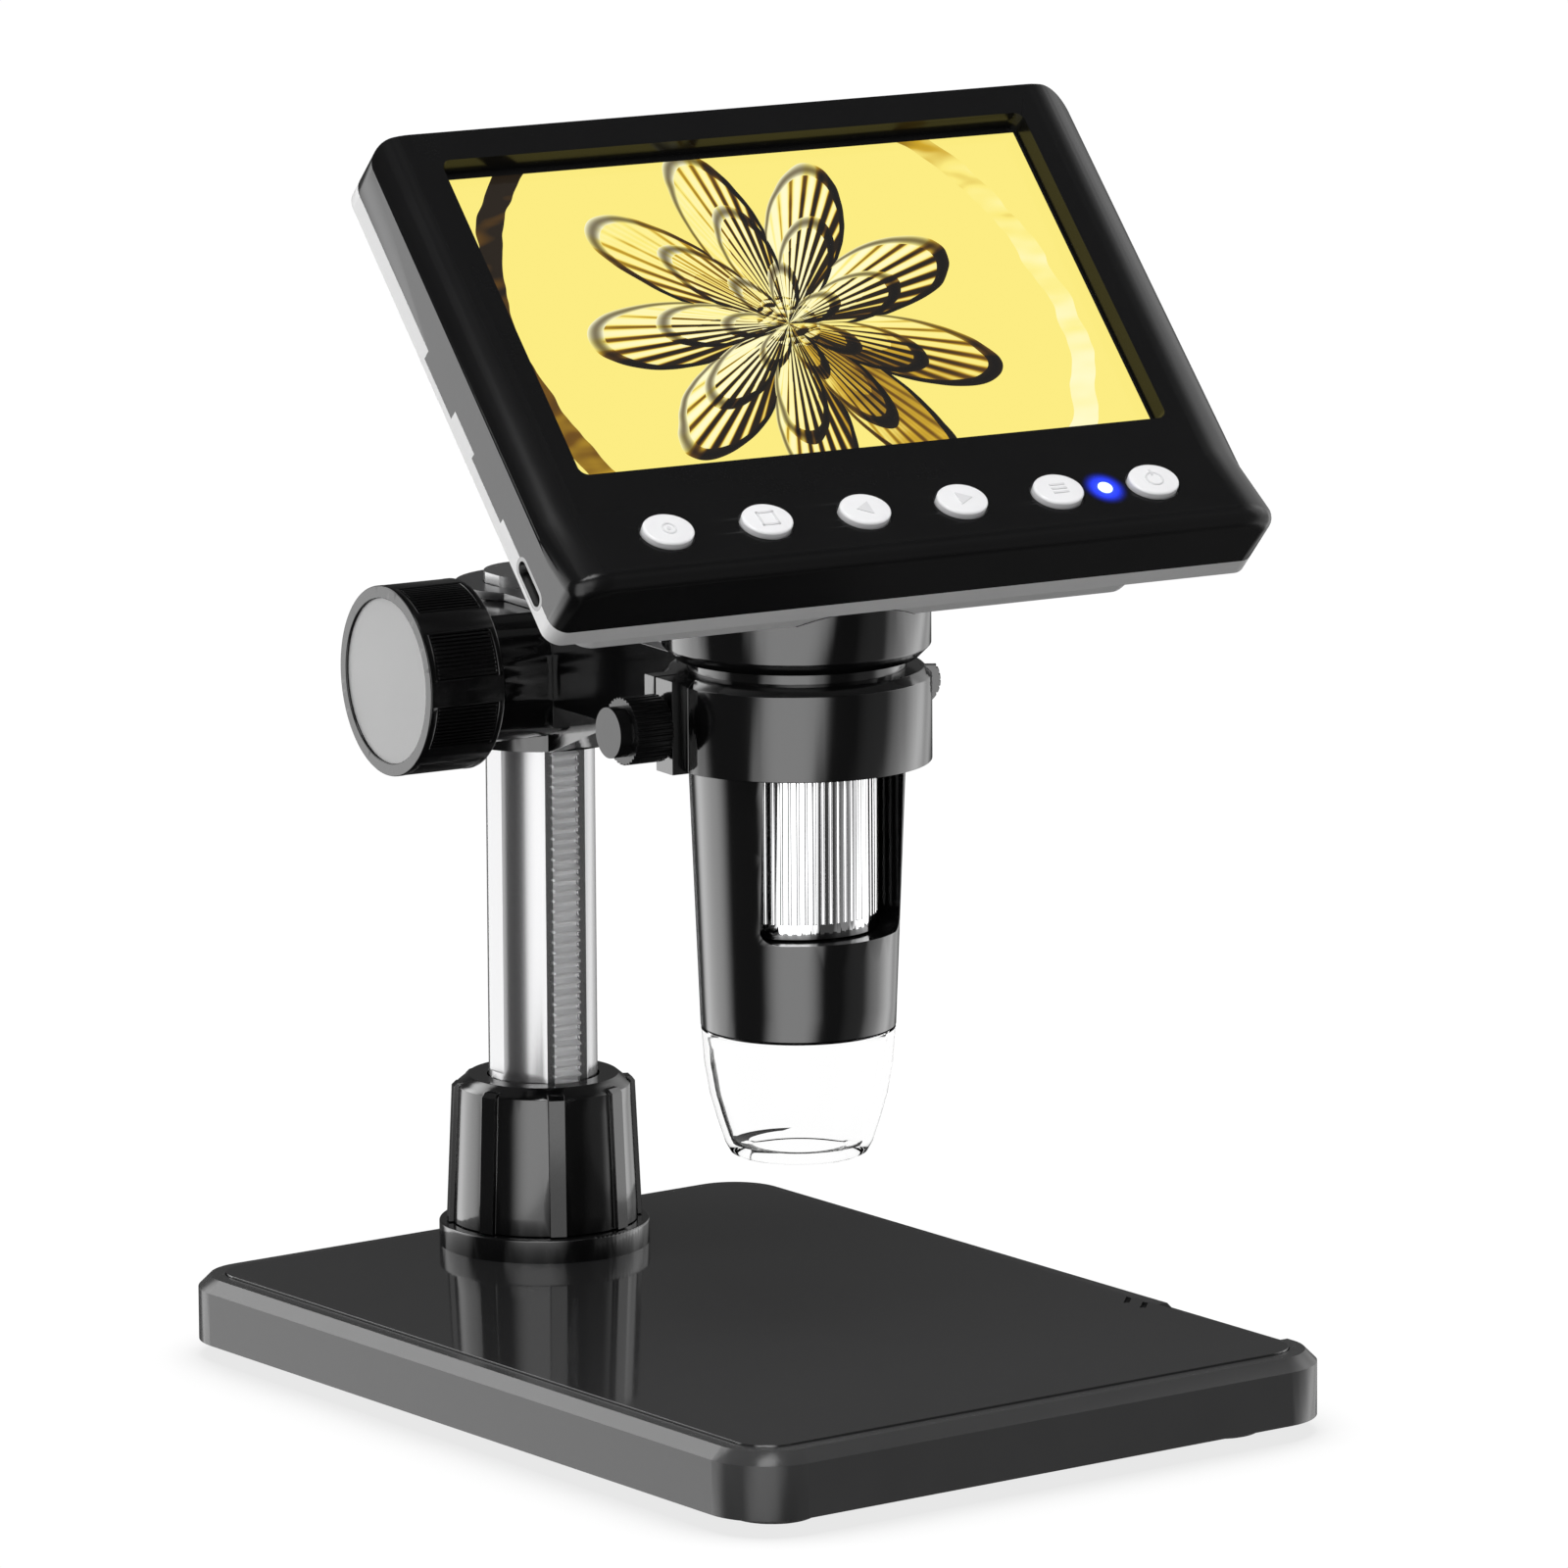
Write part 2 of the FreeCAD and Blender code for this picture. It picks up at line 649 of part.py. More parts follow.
# Carriage

def gusset(half_w):
    """Sloping shelf under the arm."""
    return extrude_yz([(-COLUMN_R / 2, CARRIAGE_BOTTOM), (-GUSSET_BACK, CARRIAGE_BOTTOM),
                       (-GUSSET_FRONT, RING_BOTTOM), (-COLUMN_R / 2, RING_BOTTOM)], -half_w, half_w)


def carriage():
    """Sleeve on the column with the pinion's housing, the knob's hub and the arm's shelf."""
    body = disc(SLEEVE_R, CARRIAGE_BOTTOM, RING_TOP)
    body = body.fuse([block(-HOUSING_HALF_W, HOUSING_HALF_W, -HOUSING_FRONT, 0, HOUSING_BOTTOM, RING_TOP),
                      gusset(GUSSET_HALF_W),
                      rod_x(HUB_R, -HUB_X, HOUSING_HALF_W, PINION_Y, PINION_Z).common(
                          block(-HUB_X, SLEEVE_R, -HOUSING_FRONT - 2, 0, CARRIAGE_BOTTOM, RING_TOP))])
    body = body.removeSplitter()
    cavity_r = PINION_PITCH_R + MODULE + GAP
    cavity = rod_x(cavity_r, -PINION_W / 2 - GAP, PINION_W / 2 + GAP, PINION_Y, PINION_Z)
    arm_room = block(-HOUSING_HALF_W - 1, HOUSING_HALF_W + 1, -GUSSET_FRONT - 1, -ARM_BACK, RING_BOTTOM,
                     RING_TOP + 1)
    cuts = [disc(BORE_R, CARRIAGE_BOTTOM - 1, RING_TOP + 1), cavity,
            rod_x(BUSH_R, -HUB_X - 1, HOUSING_HALF_W + 1, PINION_Y, PINION_Z), arm_room]
    cuts += [Part.makeCylinder(PAD_R, SLEEVE_R, V(0, 0, z), Y_AXIS) for z in PAD_Z]
    cuts += [disc(SCREW_R, RING_BOTTOM - ARM_SCREW_GRIP, RING_BOTTOM + 1, x, -ARM_SCREW_Y)
             for x in (-ARM_SCREW_X, ARM_SCREW_X)]
    cuts += [disc(PLATE_SCREW_R, RING_TOP - PLATE_SCREW_L, RING_TOP + 1, x, y)
             for x, y in plate_screw_places()]
    return to_column(body.cut(cuts))


def axle_bushes():
    """Two bronze bushes for the pinion's axle."""
    spans = ((-HUB_X, -PINION_W / 2 - GAP), (PINION_W / 2 + GAP, HOUSING_HALF_W))
    bushes = [rod_x(BUSH_R, x0, x1, PINION_Y, PINION_Z).cut(
        rod_x(AXLE_R + FIT, x0 - 1, x1 + 1, PINION_Y, PINION_Z)) for x0, x1 in spans]
    return to_column(Part.makeCompound(bushes))


def glide_pads():
    """Two nylon pads that bear on the back of the column."""
    pads = [Part.makeCylinder(PAD_R, SLEEVE_R, V(0, 0, z), Y_AXIS) for z in PAD_Z]
    sleeve = tube(SLEEVE_R, BORE_R, CARRIAGE_BOTTOM, RING_TOP)
    return to_column(Part.makeCompound([pad.common(sleeve).Solids[0] for pad in pads]))


def plate_screw_places():
    """Screws that hold the top plate to the carriage."""
    return [(-7.4, -14.5), (7.4, -14.5)]


def top_plate():
    """Thin plate over the carriage and the arm."""
    body = disc(SLEEVE_R, RING_TOP, PLATE_TOP).fuse(
        block(-HOUSING_HALF_W, HOUSING_HALF_W, -ARM_REACH, 0, RING_TOP, PLATE_TOP)).removeSplitter()
    cuts = [disc(BORE_R, RING_TOP - 1, PLATE_TOP + 1),
            disc(RING_R + GAP, RING_TOP - 1, PLATE_TOP + 1, 0, -ARM_REACH)]
    cuts += [disc(PLATE_SCREW_R, RING_TOP - 1, PLATE_TOP + 1, x, y) for x, y in plate_screw_places()]
    return to_column(body.cut(cuts).Solids[0])


def plate_screws():
    """Two small screws in the top plate."""
    screw = slotted_screw(PLATE_SCREW_R, PLATE_SCREW_HEAD_R, PLATE_SCREW_HEAD_H, PLATE_SCREW_L, SCREW_SLOT_W)
    high = PLATE_TOP + PLATE_SCREW_HEAD_H
    return to_column(Part.makeCompound([at(screw, x, y, high) for x, y in plate_screw_places()]))


def clamp_arm():
    """Arm with the clamp ring, the flat pad for the thumb screw and the cheek beside it."""
    arm = block(-HOUSING_HALF_W, HOUSING_HALF_W, -ARM_REACH, -ARM_BACK, RING_BOTTOM, RING_TOP)
    ring = disc(RING_R, RING_BOTTOM, RING_TOP)
    rim = [e for e in ring.Edges if e.Closed and e.BoundBox.ZMin > RING_TOP - 0.01]
    ring = ring.makeChamfer(RING_LIP, rim[:1])
    half = PAD_FACE_W / 2
    pad = block(-PAD_FACE_X, 0, -half, half, RING_BOTTOM, RING_TOP)
    cheek = block(-PAD_FACE_X, 0, half + CHEEK_GAP, half + CHEEK_GAP + CHEEK_W, RING_BOTTOM + CHEEK_SHORT,
                  RING_TOP)
    body = arm.fuse([at(shape, 0, -ARM_REACH, 0) for shape in (ring, pad, cheek)]).removeSplitter()
    cuts = [disc(TUBE_R_TOP + FIT, RING_BOTTOM - 1, RING_TOP + 1, 0, -ARM_REACH),
            rod_x(CLAMP_SCREW_R + FIT, -PAD_FACE_X - 1, 0, -ARM_REACH, CLAMP_SCREW_Z)]
    for x in (-ARM_SCREW_X, ARM_SCREW_X):
        cuts.append(disc(SCREW_R, RING_BOTTOM - 1, RING_TOP + 1, x, -ARM_SCREW_Y))
        cuts.append(disc(SCREW_HEAD_R, RING_TOP - ARM_SCREW_HEAD_H, RING_TOP + 1, x, -ARM_SCREW_Y))
    cuts.append(at(ring_tab_blank(), 0, -ARM_REACH, 0))
    return to_column(body.cut(cuts))


def ring_tab_blank():
    """Short disc set into the right side of the ring, mostly below its surface."""
    wheel = Part.makeCylinder(TAB_R, TAB_T, V(RING_R + TAB_PROUD - TAB_R, -TAB_T / 2, TAB_Z), Y_AXIS)
    wheel = wheel.common(block(RING_R - TAB_DEPTH, RING_R + 2, -TAB_T, TAB_T, RING_BOTTOM, RING_TOP))
    wheel.rotate(ORIGIN, Z_AXIS, TAB_TURN)
    return wheel


def ring_tab():
    """Small serrated tab on the right side of the ring."""
    centre_x = RING_R + TAB_PROUD - TAB_R
    cuts = []
    for i in range(TAB_FLUTES):
        turn = 2 * math.pi * i / TAB_FLUTES
        x = centre_x + TAB_R * math.cos(turn)
        if x > RING_R + TAB_FLUTE_R:
            z = TAB_Z + TAB_R * math.sin(turn)
            flute = Part.makeCylinder(TAB_FLUTE_R, 2 * TAB_T, V(x, -TAB_T, z), Y_AXIS)
            flute.rotate(ORIGIN, Z_AXIS, TAB_TURN)
            cuts.append(flute)
    return to_tube(ring_tab_blank().cut(cuts))


def arm_screws():
    """Two screws that hold the arm to the carriage's shelf."""
    length = RING_TOP - ARM_SCREW_HEAD_H / 2 - RING_BOTTOM + ARM_SCREW_GRIP - SCREW_HEAD_H
    screw = slotted_screw(SCREW_R, SCREW_HEAD_R, SCREW_HEAD_H, length - 0.4, SCREW_SLOT_W)
    high = RING_TOP - ARM_SCREW_HEAD_H + SCREW_HEAD_H
    places = (-ARM_SCREW_X, ARM_SCREW_X)
    return to_column(Part.makeCompound([at(screw, x, -ARM_SCREW_Y, high) for x in places]))


# Drive

def pinion_axle():
    """Axle through the carriage."""
    return to_column(rod_x(AXLE_R, -KNOB_X - KNOB_L + DISC_SINK + DISC_T, HOUSING_HALF_W + NUT_L, PINION_Y,
                           PINION_Z))


def pinion():
    """Spur gear on the axle with a tooth pointing at the rack's gap."""
    outer = PINION_PITCH_R + MODULE
    root = PINION_PITCH_R - 1.25 * MODULE
    half = PITCH / 4 - BACKLASH / 2
    steps = ((root, half * 1.35), (PINION_PITCH_R, half), (outer, half * 0.42))
    points = []
    for i in range(PINION_TEETH):
        turn = 2 * math.pi * i / PINION_TEETH
        flank = [(r, w / r) for r, w in steps]
        for r, a in [(r, -a) for r, a in flank] + [(r, a) for r, a in reversed(flank)]:
            points.append(V(-PINION_W / 2, r * math.cos(turn + a), r * math.sin(turn + a)))
    body = Part.Face(Part.makePolygon(points + points[:1])).extrude(V(PINION_W, 0, 0))
    body = at(body, 0, PINION_Y, PINION_Z)
    return to_column(body.cut(rod_x(AXLE_R, -PINION_W, PINION_W, PINION_Y, PINION_Z)))


def drive_knob():
    """Cup shaped knob with eight smooth lands and ribbed fields between them."""
    body = disc(KNOB_R, 0, KNOB_L)
    field = tube(KNOB_R + 1, KNOB_R - KNOB_FIELD_DEPTH, 1.0, KNOB_L - 1.2)
    sector = 360.0 / KNOB_LANDS - KNOB_LAND_ANGLE
    wedge = Part.makeCylinder(KNOB_R + 2, KNOB_L, ORIGIN, Z_AXIS, sector)
    body = body.cut(spin_copies(field.common(wedge), KNOB_LANDS, KNOB_LAND_ANGLE / 2))
    cuts = [tube(KNOB_R - KNOB_WALL, KNOB_BOSS_R, -1, KNOB_L - DISC_SINK - DISC_T - KNOB_WEB),
            disc(AXLE_R, -1, KNOB_L), disc(DISC_R, KNOB_L - DISC_SINK - DISC_T, KNOB_L + 1)]
    return to_column(lay_along_x(body.cut(cuts), -KNOB_X, PINION_Y, PINION_Z))


def knob_disc():
    """Bright disc in the knob's end."""
    body = disc(DISC_R, KNOB_L - DISC_SINK - DISC_T, KNOB_L - DISC_SINK)
    return to_column(lay_along_x(body, -KNOB_X, PINION_Y, PINION_Z))


def axle_nut():
    """Round nut on the axle's far end."""
    body = rod_x(NUT_R, HOUSING_HALF_W + SEAT_GAP, HOUSING_HALF_W + NUT_L, PINION_Y, PINION_Z)
    return to_column(body.cut(rod_x(AXLE_R, 0, HOUSING_HALF_W + NUT_L + 1, PINION_Y, PINION_Z)))


# Thumb screw

def clamp_screw():
    """Threaded pin that presses on the tube."""
    return to_tube(rod_x(CLAMP_SCREW_R, -CLAMP_HEAD_X - CLAMP_HEAD_L, -TUBE_R_TOP - GAP, 0, CLAMP_SCREW_Z))


def clamp_knob():
    """Fluted grip of the thumb screw with a plain hub."""
    body = disc(CLAMP_HEAD_R, 0, CLAMP_HEAD_L)
    flute = disc(CLAMP_FLUTE_R, -1, CLAMP_HEAD_L + 1, CLAMP_HEAD_R, 0)
    body = body.cut(spin_copies(flute, CLAMP_FLUTES))
    body = body.fuse(disc(CLAMP_HUB_R, CLAMP_HEAD_L, CLAMP_HEAD_L + CLAMP_HUB_L)).removeSplitter()
    body = body.cut(disc(CLAMP_SCREW_R, -1, CLAMP_HEAD_L))
    return to_tube(lay_along_x(body, -CLAMP_HEAD_X, 0, CLAMP_SCREW_Z))


# Tube

def body_tube():
    """Tapered tube with a window for the focus wheel and a shelf under it."""
    body = revolve([(0, TUBE_BOTTOM), (TUBE_R_BOTTOM - TUBE_EDGE, TUBE_BOTTOM),
                    (TUBE_R_BOTTOM, TUBE_BOTTOM + TUBE_EDGE), (TUBE_R_TOP, TUBE_TAPER_TOP),
                    (TUBE_R_TOP, NECK_BOTTOM), (0, NECK_BOTTOM)])
    shelf = tube(TUBE_BORE + 1, BARREL_R + GAP, SHELF_TOP - SHELF_T, SHELF_TOP)
    body = body.cut(disc(TUBE_BORE, TUBE_BOTTOM - 1, NECK_BOTTOM + 1)).fuse(shelf).removeSplitter()
    window = block(-WINDOW_HALF_W, WINDOW_HALF_W, -TUBE_R_TOP - 1, -1, WINDOW_BOTTOM, WINDOW_TOP)
    low = [e for e in window.Edges if e.BoundBox.ZMax < WINDOW_TOP and abs(e.BoundBox.YLength) > TUBE_R_TOP]
    lower_corners = [e for e in low if e.BoundBox.ZMin < WINDOW_BOTTOM + 0.1]
    window = window.makeFillet(WINDOW_R, lower_corners)
    cuts = [window]
    screw = disc(NECK_SCREW_R, NECK_BOTTOM - NECK_SCREW_L, NECK_BOTTOM + 1, NECK_SCREW_X, 0)
    cuts += spin_copies(screw, NECK_SCREW_COUNT, NECK_SCREW_TURN)
    return to_tube(body.cut(cuts))


def focus_wheel():
    """Knurled wheel around the lens barrel with a smooth lower rim."""
    body = tube(WHEEL_R, BARREL_R + FIT, WHEEL_BOTTOM, WHEEL_TOP)
    groove = disc(WHEEL_GROOVE_R, WHEEL_BOTTOM + WHEEL_RIM_H, WHEEL_TOP + 1, WHEEL_R, 0)
    return to_tube(body.cut(spin_copies(groove, WHEEL_GROOVES)))


def lens_barrel():
    """Barrel that carries the lenses, kept from turning by a key."""
    body = disc(BARREL_R, BARREL_BOTTOM, BARREL_TOP)
    key = block(0, BARREL_R + KEY_H, -KEY_W / 2, KEY_W / 2, GUIDE_Z + KEY_RISE, GUIDE_Z + KEY_RISE + KEY_L)
    body = body.fuse(key).removeSplitter()
    cuts = [disc(BARREL_BORE, BARREL_BOTTOM + BARREL_STEP, BARREL_TOP + 1),
            disc(BARREL_MOUTH, BARREL_BOTTOM - 1, BARREL_TOP)]
    return to_tube(body.cut(cuts))


def lens(z):
    """Disc lens with a gently domed lower face."""
    body = disc(BARREL_BORE, z, z + LENS_T)
    ball = Part.makeSphere(LENS_BALL_R, V(0, 0, z + LENS_BALL_R))
    return to_tube(body.common(ball))


def lens_spacer():
    """Spacer tube between the two lenses."""
    low = BARREL_BOTTOM + BARREL_STEP + LENS_T
    inner = BARREL_BORE - SPACER_WALL
    return to_tube(tube(BARREL_BORE, inner, low, REAR_LENS_Z + lens_rise(inner)))


def lens_rise(r):
    """Height of a lens's domed face above its lowest point, at a radius."""
    return LENS_BALL_R - math.sqrt(LENS_BALL_R ** 2 - r ** 2)


def guide_ring():
    """Ring with a keyway that guides the barrel."""
    body = tube(TUBE_BORE, BARREL_R + FIT, GUIDE_Z, GUIDE_Z + GUIDE_T)
    half = KEY_W / 2 + FIT
    slot = block(0, BARREL_R + KEY_H + GAP, -half, half, GUIDE_Z - 1, GUIDE_Z + GUIDE_T + 1)
    return to_tube(body.cut(slot))


def hood():
    """Clear hood below the tube with a spigot in the tube's bore."""
    outer = list(HOOD_PROFILE)
    bore = TUBE_BORE - HOOD_WALL
    inner = [(r - HOOD_WALL, z) for r, z in reversed(HOOD_PROFILE[1:6])]
    floor = HOOD_PROFILE[-1][1]
    points = [(TUBE_BORE, TUBE_BOTTOM)] + outer + [(HOOD_MOUTH_R, floor), (HOOD_MOUTH_R, floor + HOOD_WALL)]
    points += inner
    points += [(bore, TUBE_BOTTOM), (bore, LED_BOARD_Z), (TUBE_BORE, LED_BOARD_Z)]
    return to_tube(revolve(points))


def led_board():
    """Ring shaped board above the hood."""
    return to_tube(tube(TUBE_BORE, LED_BOARD_HOLE, LED_BOARD_Z, LED_BOARD_Z + LED_BOARD_T))


def leds():
    """Eight lamps under the ring board."""
    lamp = disc(LED_R, LED_BOARD_Z - LED_H, LED_BOARD_Z, LED_RING_R, 0)
    return to_tube(Part.makeCompound(spin_copies(lamp, LED_COUNT)))


# Neck

def neck():
    """Hollow neck from the clamp ring up to the screen's back."""
    body = revolve([(0, NECK_BOTTOM), (NECK_R - NECK_CHAMFER, NECK_BOTTOM),
                    (NECK_R, NECK_BOTTOM + NECK_CHAMFER), (NECK_R, NECK_TOP), (0, NECK_TOP)])
    cuts = [disc(NECK_R - NECK_WALL, NECK_FLOOR_TOP, NECK_TOP + 1),
            disc(NECK_HOLE, NECK_BOTTOM - 1, NECK_TOP)]
    screw = disc(NECK_SCREW_R, NECK_BOTTOM - 1, NECK_FLOOR_TOP + 1, NECK_SCREW_X, 0)
    cuts += spin_copies(screw, NECK_SCREW_COUNT, NECK_SCREW_TURN)
    cuts.append(tilt_screen(cover_envelope()))
    cuts.append(tilt_screen(block(-HALF_U, HALF_U, -HALF_U * 2, HALF_U * 2, REAR_W, HALF_U * 2)))
    body = body.cut(cuts)
    return to_tube(max(body.Solids, key=lambda solid: solid.Volume))


def neck_screws():
    """Three screws that hold the neck to the tube."""
    screw = slotted_screw(NECK_SCREW_R, NECK_SCREW_HEAD_R, NECK_SCREW_HEAD_H, NECK_FLOOR + NECK_SCREW_L - 0.5,
                          SCREW_SLOT_W / 2)
    screw = at(screw, NECK_SCREW_X, 0, NECK_FLOOR_TOP + NECK_SCREW_HEAD_H)
    return to_tube(Part.makeCompound(spin_copies(screw, NECK_SCREW_COUNT, NECK_SCREW_TURN)))


def sensor_board():
    """Round camera board on the neck's floor, notched for the screw heads."""
    body = disc(SENSOR_BOARD_R, NECK_FLOOR_TOP, NECK_FLOOR_TOP + SENSOR_BOARD_T)
    high = NECK_FLOOR_TOP + SENSOR_BOARD_T + 1
    notch = disc(NECK_SCREW_HEAD_R + GAP, NECK_FLOOR_TOP - 1, high, NECK_SCREW_X, 0)
    return to_tube(body.cut(spin_copies(notch, NECK_SCREW_COUNT, NECK_SCREW_TURN)))


def image_sensor():
    """Camera chip under its board, looking down the barrel."""
    half = SENSOR_SIDE / 2
    return to_tube(block(-half, half, -half, half, NECK_FLOOR_TOP - SENSOR_H, NECK_FLOOR_TOP))


# Screen housing

def front_section(inset, low):
    """Face across the housing in u and w with both sides rolled over."""
    half = HALF_U - inset
    radius = (ROLL_IN ** 2 + ROLL_DROP ** 2) / (2 * ROLL_DROP)
    turn = math.asin(ROLL_IN / radius) / 2
    mid_in = ROLL_IN - radius * math.sin(turn)
    mid_drop = radius * (1 - math.cos(turn))
    top = -inset
    crease = top - ROLL_DROP
    middle = top - mid_drop
    left = Part.Arc(V(-half, 0, crease), V(-half + mid_in, 0, middle), V(-half + ROLL_IN, 0, top))
    right = Part.Arc(V(half - ROLL_IN, 0, top), V(half - mid_in, 0, middle), V(half, 0, crease))
    edges = [Part.makeLine(V(-half, 0, low), V(-half, 0, crease)), left.toShape(),
             Part.makeLine(V(-half + ROLL_IN, 0, top), V(half - ROLL_IN, 0, top)), right.toShape(),
             Part.makeLine(V(half, 0, crease), V(half, 0, low)),
             Part.makeLine(V(half, 0, low), V(-half, 0, low))]
    return Part.Face(Part.Wire(edges))


def front_envelope(inset):
    """Front shell's block, the flat face above and the chin leaning out below, mitred where they meet."""
    deep = SEAM_W - 10
    main = at(front_section(inset, deep).extrude(V(0, TOP_V - 2 * CHIN_V, 0)), 0, 2 * CHIN_V, 0)
    chin = tilt_chin(at(front_section(inset, deep).extrude(V(0, -3 * CHIN_V, 0)), 0, 2 * CHIN_V, 0))
    lower = block(-HALF_U - 1, HALF_U + 1, 3 * CHIN_V, 0, 3 * deep, HALF_U)
    lower.rotate(ORIGIN, X_AXIS, -CHIN_ANGLE / 2)
    lower.translate(V(0, CHIN_V, 0))
    outline = rounded_block(HALF_U - inset, BOTTOM_V + inset, TOP_V - inset, SEAM_W, HALF_U,
                            max(BOTTOM_CORNER_R - inset, 0.5), max(TOP_CORNER_R - inset, 0.5))
    return main.cut(lower).fuse(chin.common(lower)).removeSplitter().common(outline)


def front_bezel():
    """Front shell with the screen opening, bosses, button holes and side tabs."""
    half_u = OPENING_U / 2
    half_v = OPENING_V / 2
    outer = front_envelope(0)
    chin_edge = [e for e in outer.Edges if e.BoundBox.YMin < BOTTOM_V + 0.01 and e.BoundBox.ZMin > SEAM_W + 1
                 and e.BoundBox.YMax < BOTTOM_V + BOTTOM_CORNER_R + 0.1]
    body = outer.makeFillet(CHIN_EDGE_R, chin_edge).cut(front_envelope(SHELL_WALL))
    lip = rounded_block(half_u + LIP_W, -half_v - LIP_W, half_v + LIP_W, PANEL_W, -SHELL_WALL + 0.5,
                        OPENING_R + LIP_W)
    bosses = [disc(BOSS_R, SEAM_W, -SHELL_WALL + 0.2, u, COVER_SCREW_V)
              for u in (-COVER_SCREW_U, COVER_SCREW_U)]
    pins = [tilt_chin(disc(BOARD_PIN_R, BUTTON_BOARD_TOP, -SHELL_WALL + 0.2, u, BUTTON_V))
            for u in (-BOARD_PIN_U, BOARD_PIN_U)]
    body = body.fuse([lip] + bosses + pins + skirt_tabs(0)).removeSplitter()
    cuts = [rounded_block(half_u, -half_v, half_v, PANEL_W - 1, 1, OPENING_R), port_blank(0)]
    cuts += [disc(COVER_SCREW_R, SEAM_W - 1, SEAM_W + COVER_SCREW_L, u, COVER_SCREW_V)
             for u in (-COVER_SCREW_U, COVER_SCREW_U)]
    cuts += [tilt_chin(oval(BUTTON_A + GAP, BUTTON_B + GAP, -SHELL_WALL - 1, 2, u, BUTTON_V))
             for u in button_places()]
    cuts.append(tilt_chin(disc(STATUS_LED_R, -SHELL_WALL - 1, 2, LED_U, BUTTON_V)))
    return to_screen(body.cut(cuts))


def skirt_tabs(gap):
    """Tabs of the front shell that lie in the left side of the cover, grown by a gap."""
    return [block(-HALF_U, -HALF_U + SKIRT_T + gap, low - gap, high + gap, SEAM_W - drop - gap, SEAM_W)
            for low, high, drop in SKIRT_TABS]


def hump_loft(inset):
    """Drafted block behind the screen."""
    shrink = HUMP_DRAFT * (1 - inset / 20)
    front = rounded_outline(HUMP_HALF_U - inset, HUMP_BOTTOM_V + inset, HUMP_TOP_V - inset, HUMP_R, HUMP_R,
                            REAR_W + SHELL_WALL)
    rear = rounded_outline(HUMP_HALF_U - inset - shrink, HUMP_BOTTOM_V + inset + shrink,
                           HUMP_TOP_V - inset - shrink, HUMP_R - 1, HUMP_R - 1, HUMP_W + inset)
    return Part.makeLoft([front, rear], True, True)


def cover_envelope():
    """Outer shape of the rear cover."""
    plate = rounded_block(HALF_U, BOTTOM_V, TOP_V, REAR_W, SEAM_W, BOTTOM_CORNER_R, TOP_CORNER_R)
    plate = plate.makeChamfer(1.0, [e for e in plate.Edges if e.BoundBox.ZMax < REAR_W + 0.01])
    return plate.fuse(hump_loft(0)).removeSplitter()


def back_cover():
    """Rear cover with the hump for the battery."""
    wall = SHELL_WALL
    hollow = rounded_block(HALF_U - wall, BOTTOM_V + wall, TOP_V - wall, REAR_W + wall, SEAM_W + 1, 0.5,
                           TOP_CORNER_R - wall)
    posts = [disc(BOARD_POST_R, REAR_W + wall, BOARD_W - BOARD_T, u, v)
             for u in (-BOARD_POST_U, BOARD_POST_U) for v in BOARD_POST_V]
    bosses = [disc(BOSS_R, REAR_W + wall / 2, SEAM_W, u, COVER_SCREW_V)
              for u in (-COVER_SCREW_U, COVER_SCREW_U)]
    body = cover_envelope().cut([hollow, hump_loft(wall)]).fuse(posts + bosses).removeSplitter()
    cuts = [port_blank(0)] + skirt_tabs(0)
    for u in (-COVER_SCREW_U, COVER_SCREW_U):
        cuts.append(disc(COVER_SCREW_R, REAR_W - 1, SEAM_W + 1, u, COVER_SCREW_V))
        cuts.append(disc(COVER_SCREW_HEAD_R, REAR_W - 1, REAR_W + COVER_SCREW_HEAD_H, u, COVER_SCREW_V))
    return to_screen(body.cut(cuts))


def cover_screws():
    """Two screws that join the cover to the front shell."""
    length = SEAM_W - REAR_W - COVER_SCREW_HEAD_H + COVER_SCREW_L - 0.5
    screw = flip(slotted_screw(COVER_SCREW_R, COVER_SCREW_HEAD_R, COVER_SCREW_HEAD_H, length, SCREW_SLOT_W))
    return to_screen(Part.makeCompound([at(screw, u, COVER_SCREW_V, REAR_W)
                                        for u in (-COVER_SCREW_U, COVER_SCREW_U)]))


def lcd_panel():
    """Glass of the 4.3 inch display."""
    return to_screen(block(-PANEL_U / 2, PANEL_U / 2, -PANEL_V / 2, PANEL_V / 2, BACKLIGHT_W, PANEL_W))


def backlight():
    """Light box behind the glass."""
    return to_screen(block(-PANEL_U / 2, PANEL_U / 2, -PANEL_V / 2, PANEL_V / 2, BOARD_W, BACKLIGHT_W))


def main_board():
    """Circuit board behind the display."""
    return to_screen(block(-BOARD_U / 2, BOARD_U / 2, -BOARD_V / 2, BOARD_V / 2, BOARD_W - BOARD_T, BOARD_W))


def battery():
    """Flat cell lying in the hump."""
    mid = (HUMP_TOP_V + HUMP_BOTTOM_V) / 2
    low = HUMP_W + SHELL_WALL
    half_v = BATTERY_V / 2
    high = low + BATTERY_T
    return to_screen(rounded_block(BATTERY_U / 2, mid - half_v, mid + half_v, low, high, BATTERY_R))


def port_blank(inset):
    """Oval bar of the port, lying across the seam on the left side."""
    r = PORT_H / 2 - inset
    run = (PORT_L - PORT_H) / 2
    x0 = -HALF_U - (1 if inset else 0)
    x1 = -HALF_U + PORT_DEPTH - inset
    ends = [Part.makeCylinder(r, x1 - x0, V(x0, PORT_V + dv, PORT_W), X_AXIS) for dv in (-run, run)]
    middle = block(x0, x1, PORT_V - run, PORT_V + run, PORT_W - r, PORT_W + r)
    return ends[0].fuse([ends[1], middle]).removeSplitter()


def port_shell():
    """Oval metal cup of the charging port."""
    return to_screen(port_blank(0).cut(port_blank(PORT_WALL)))


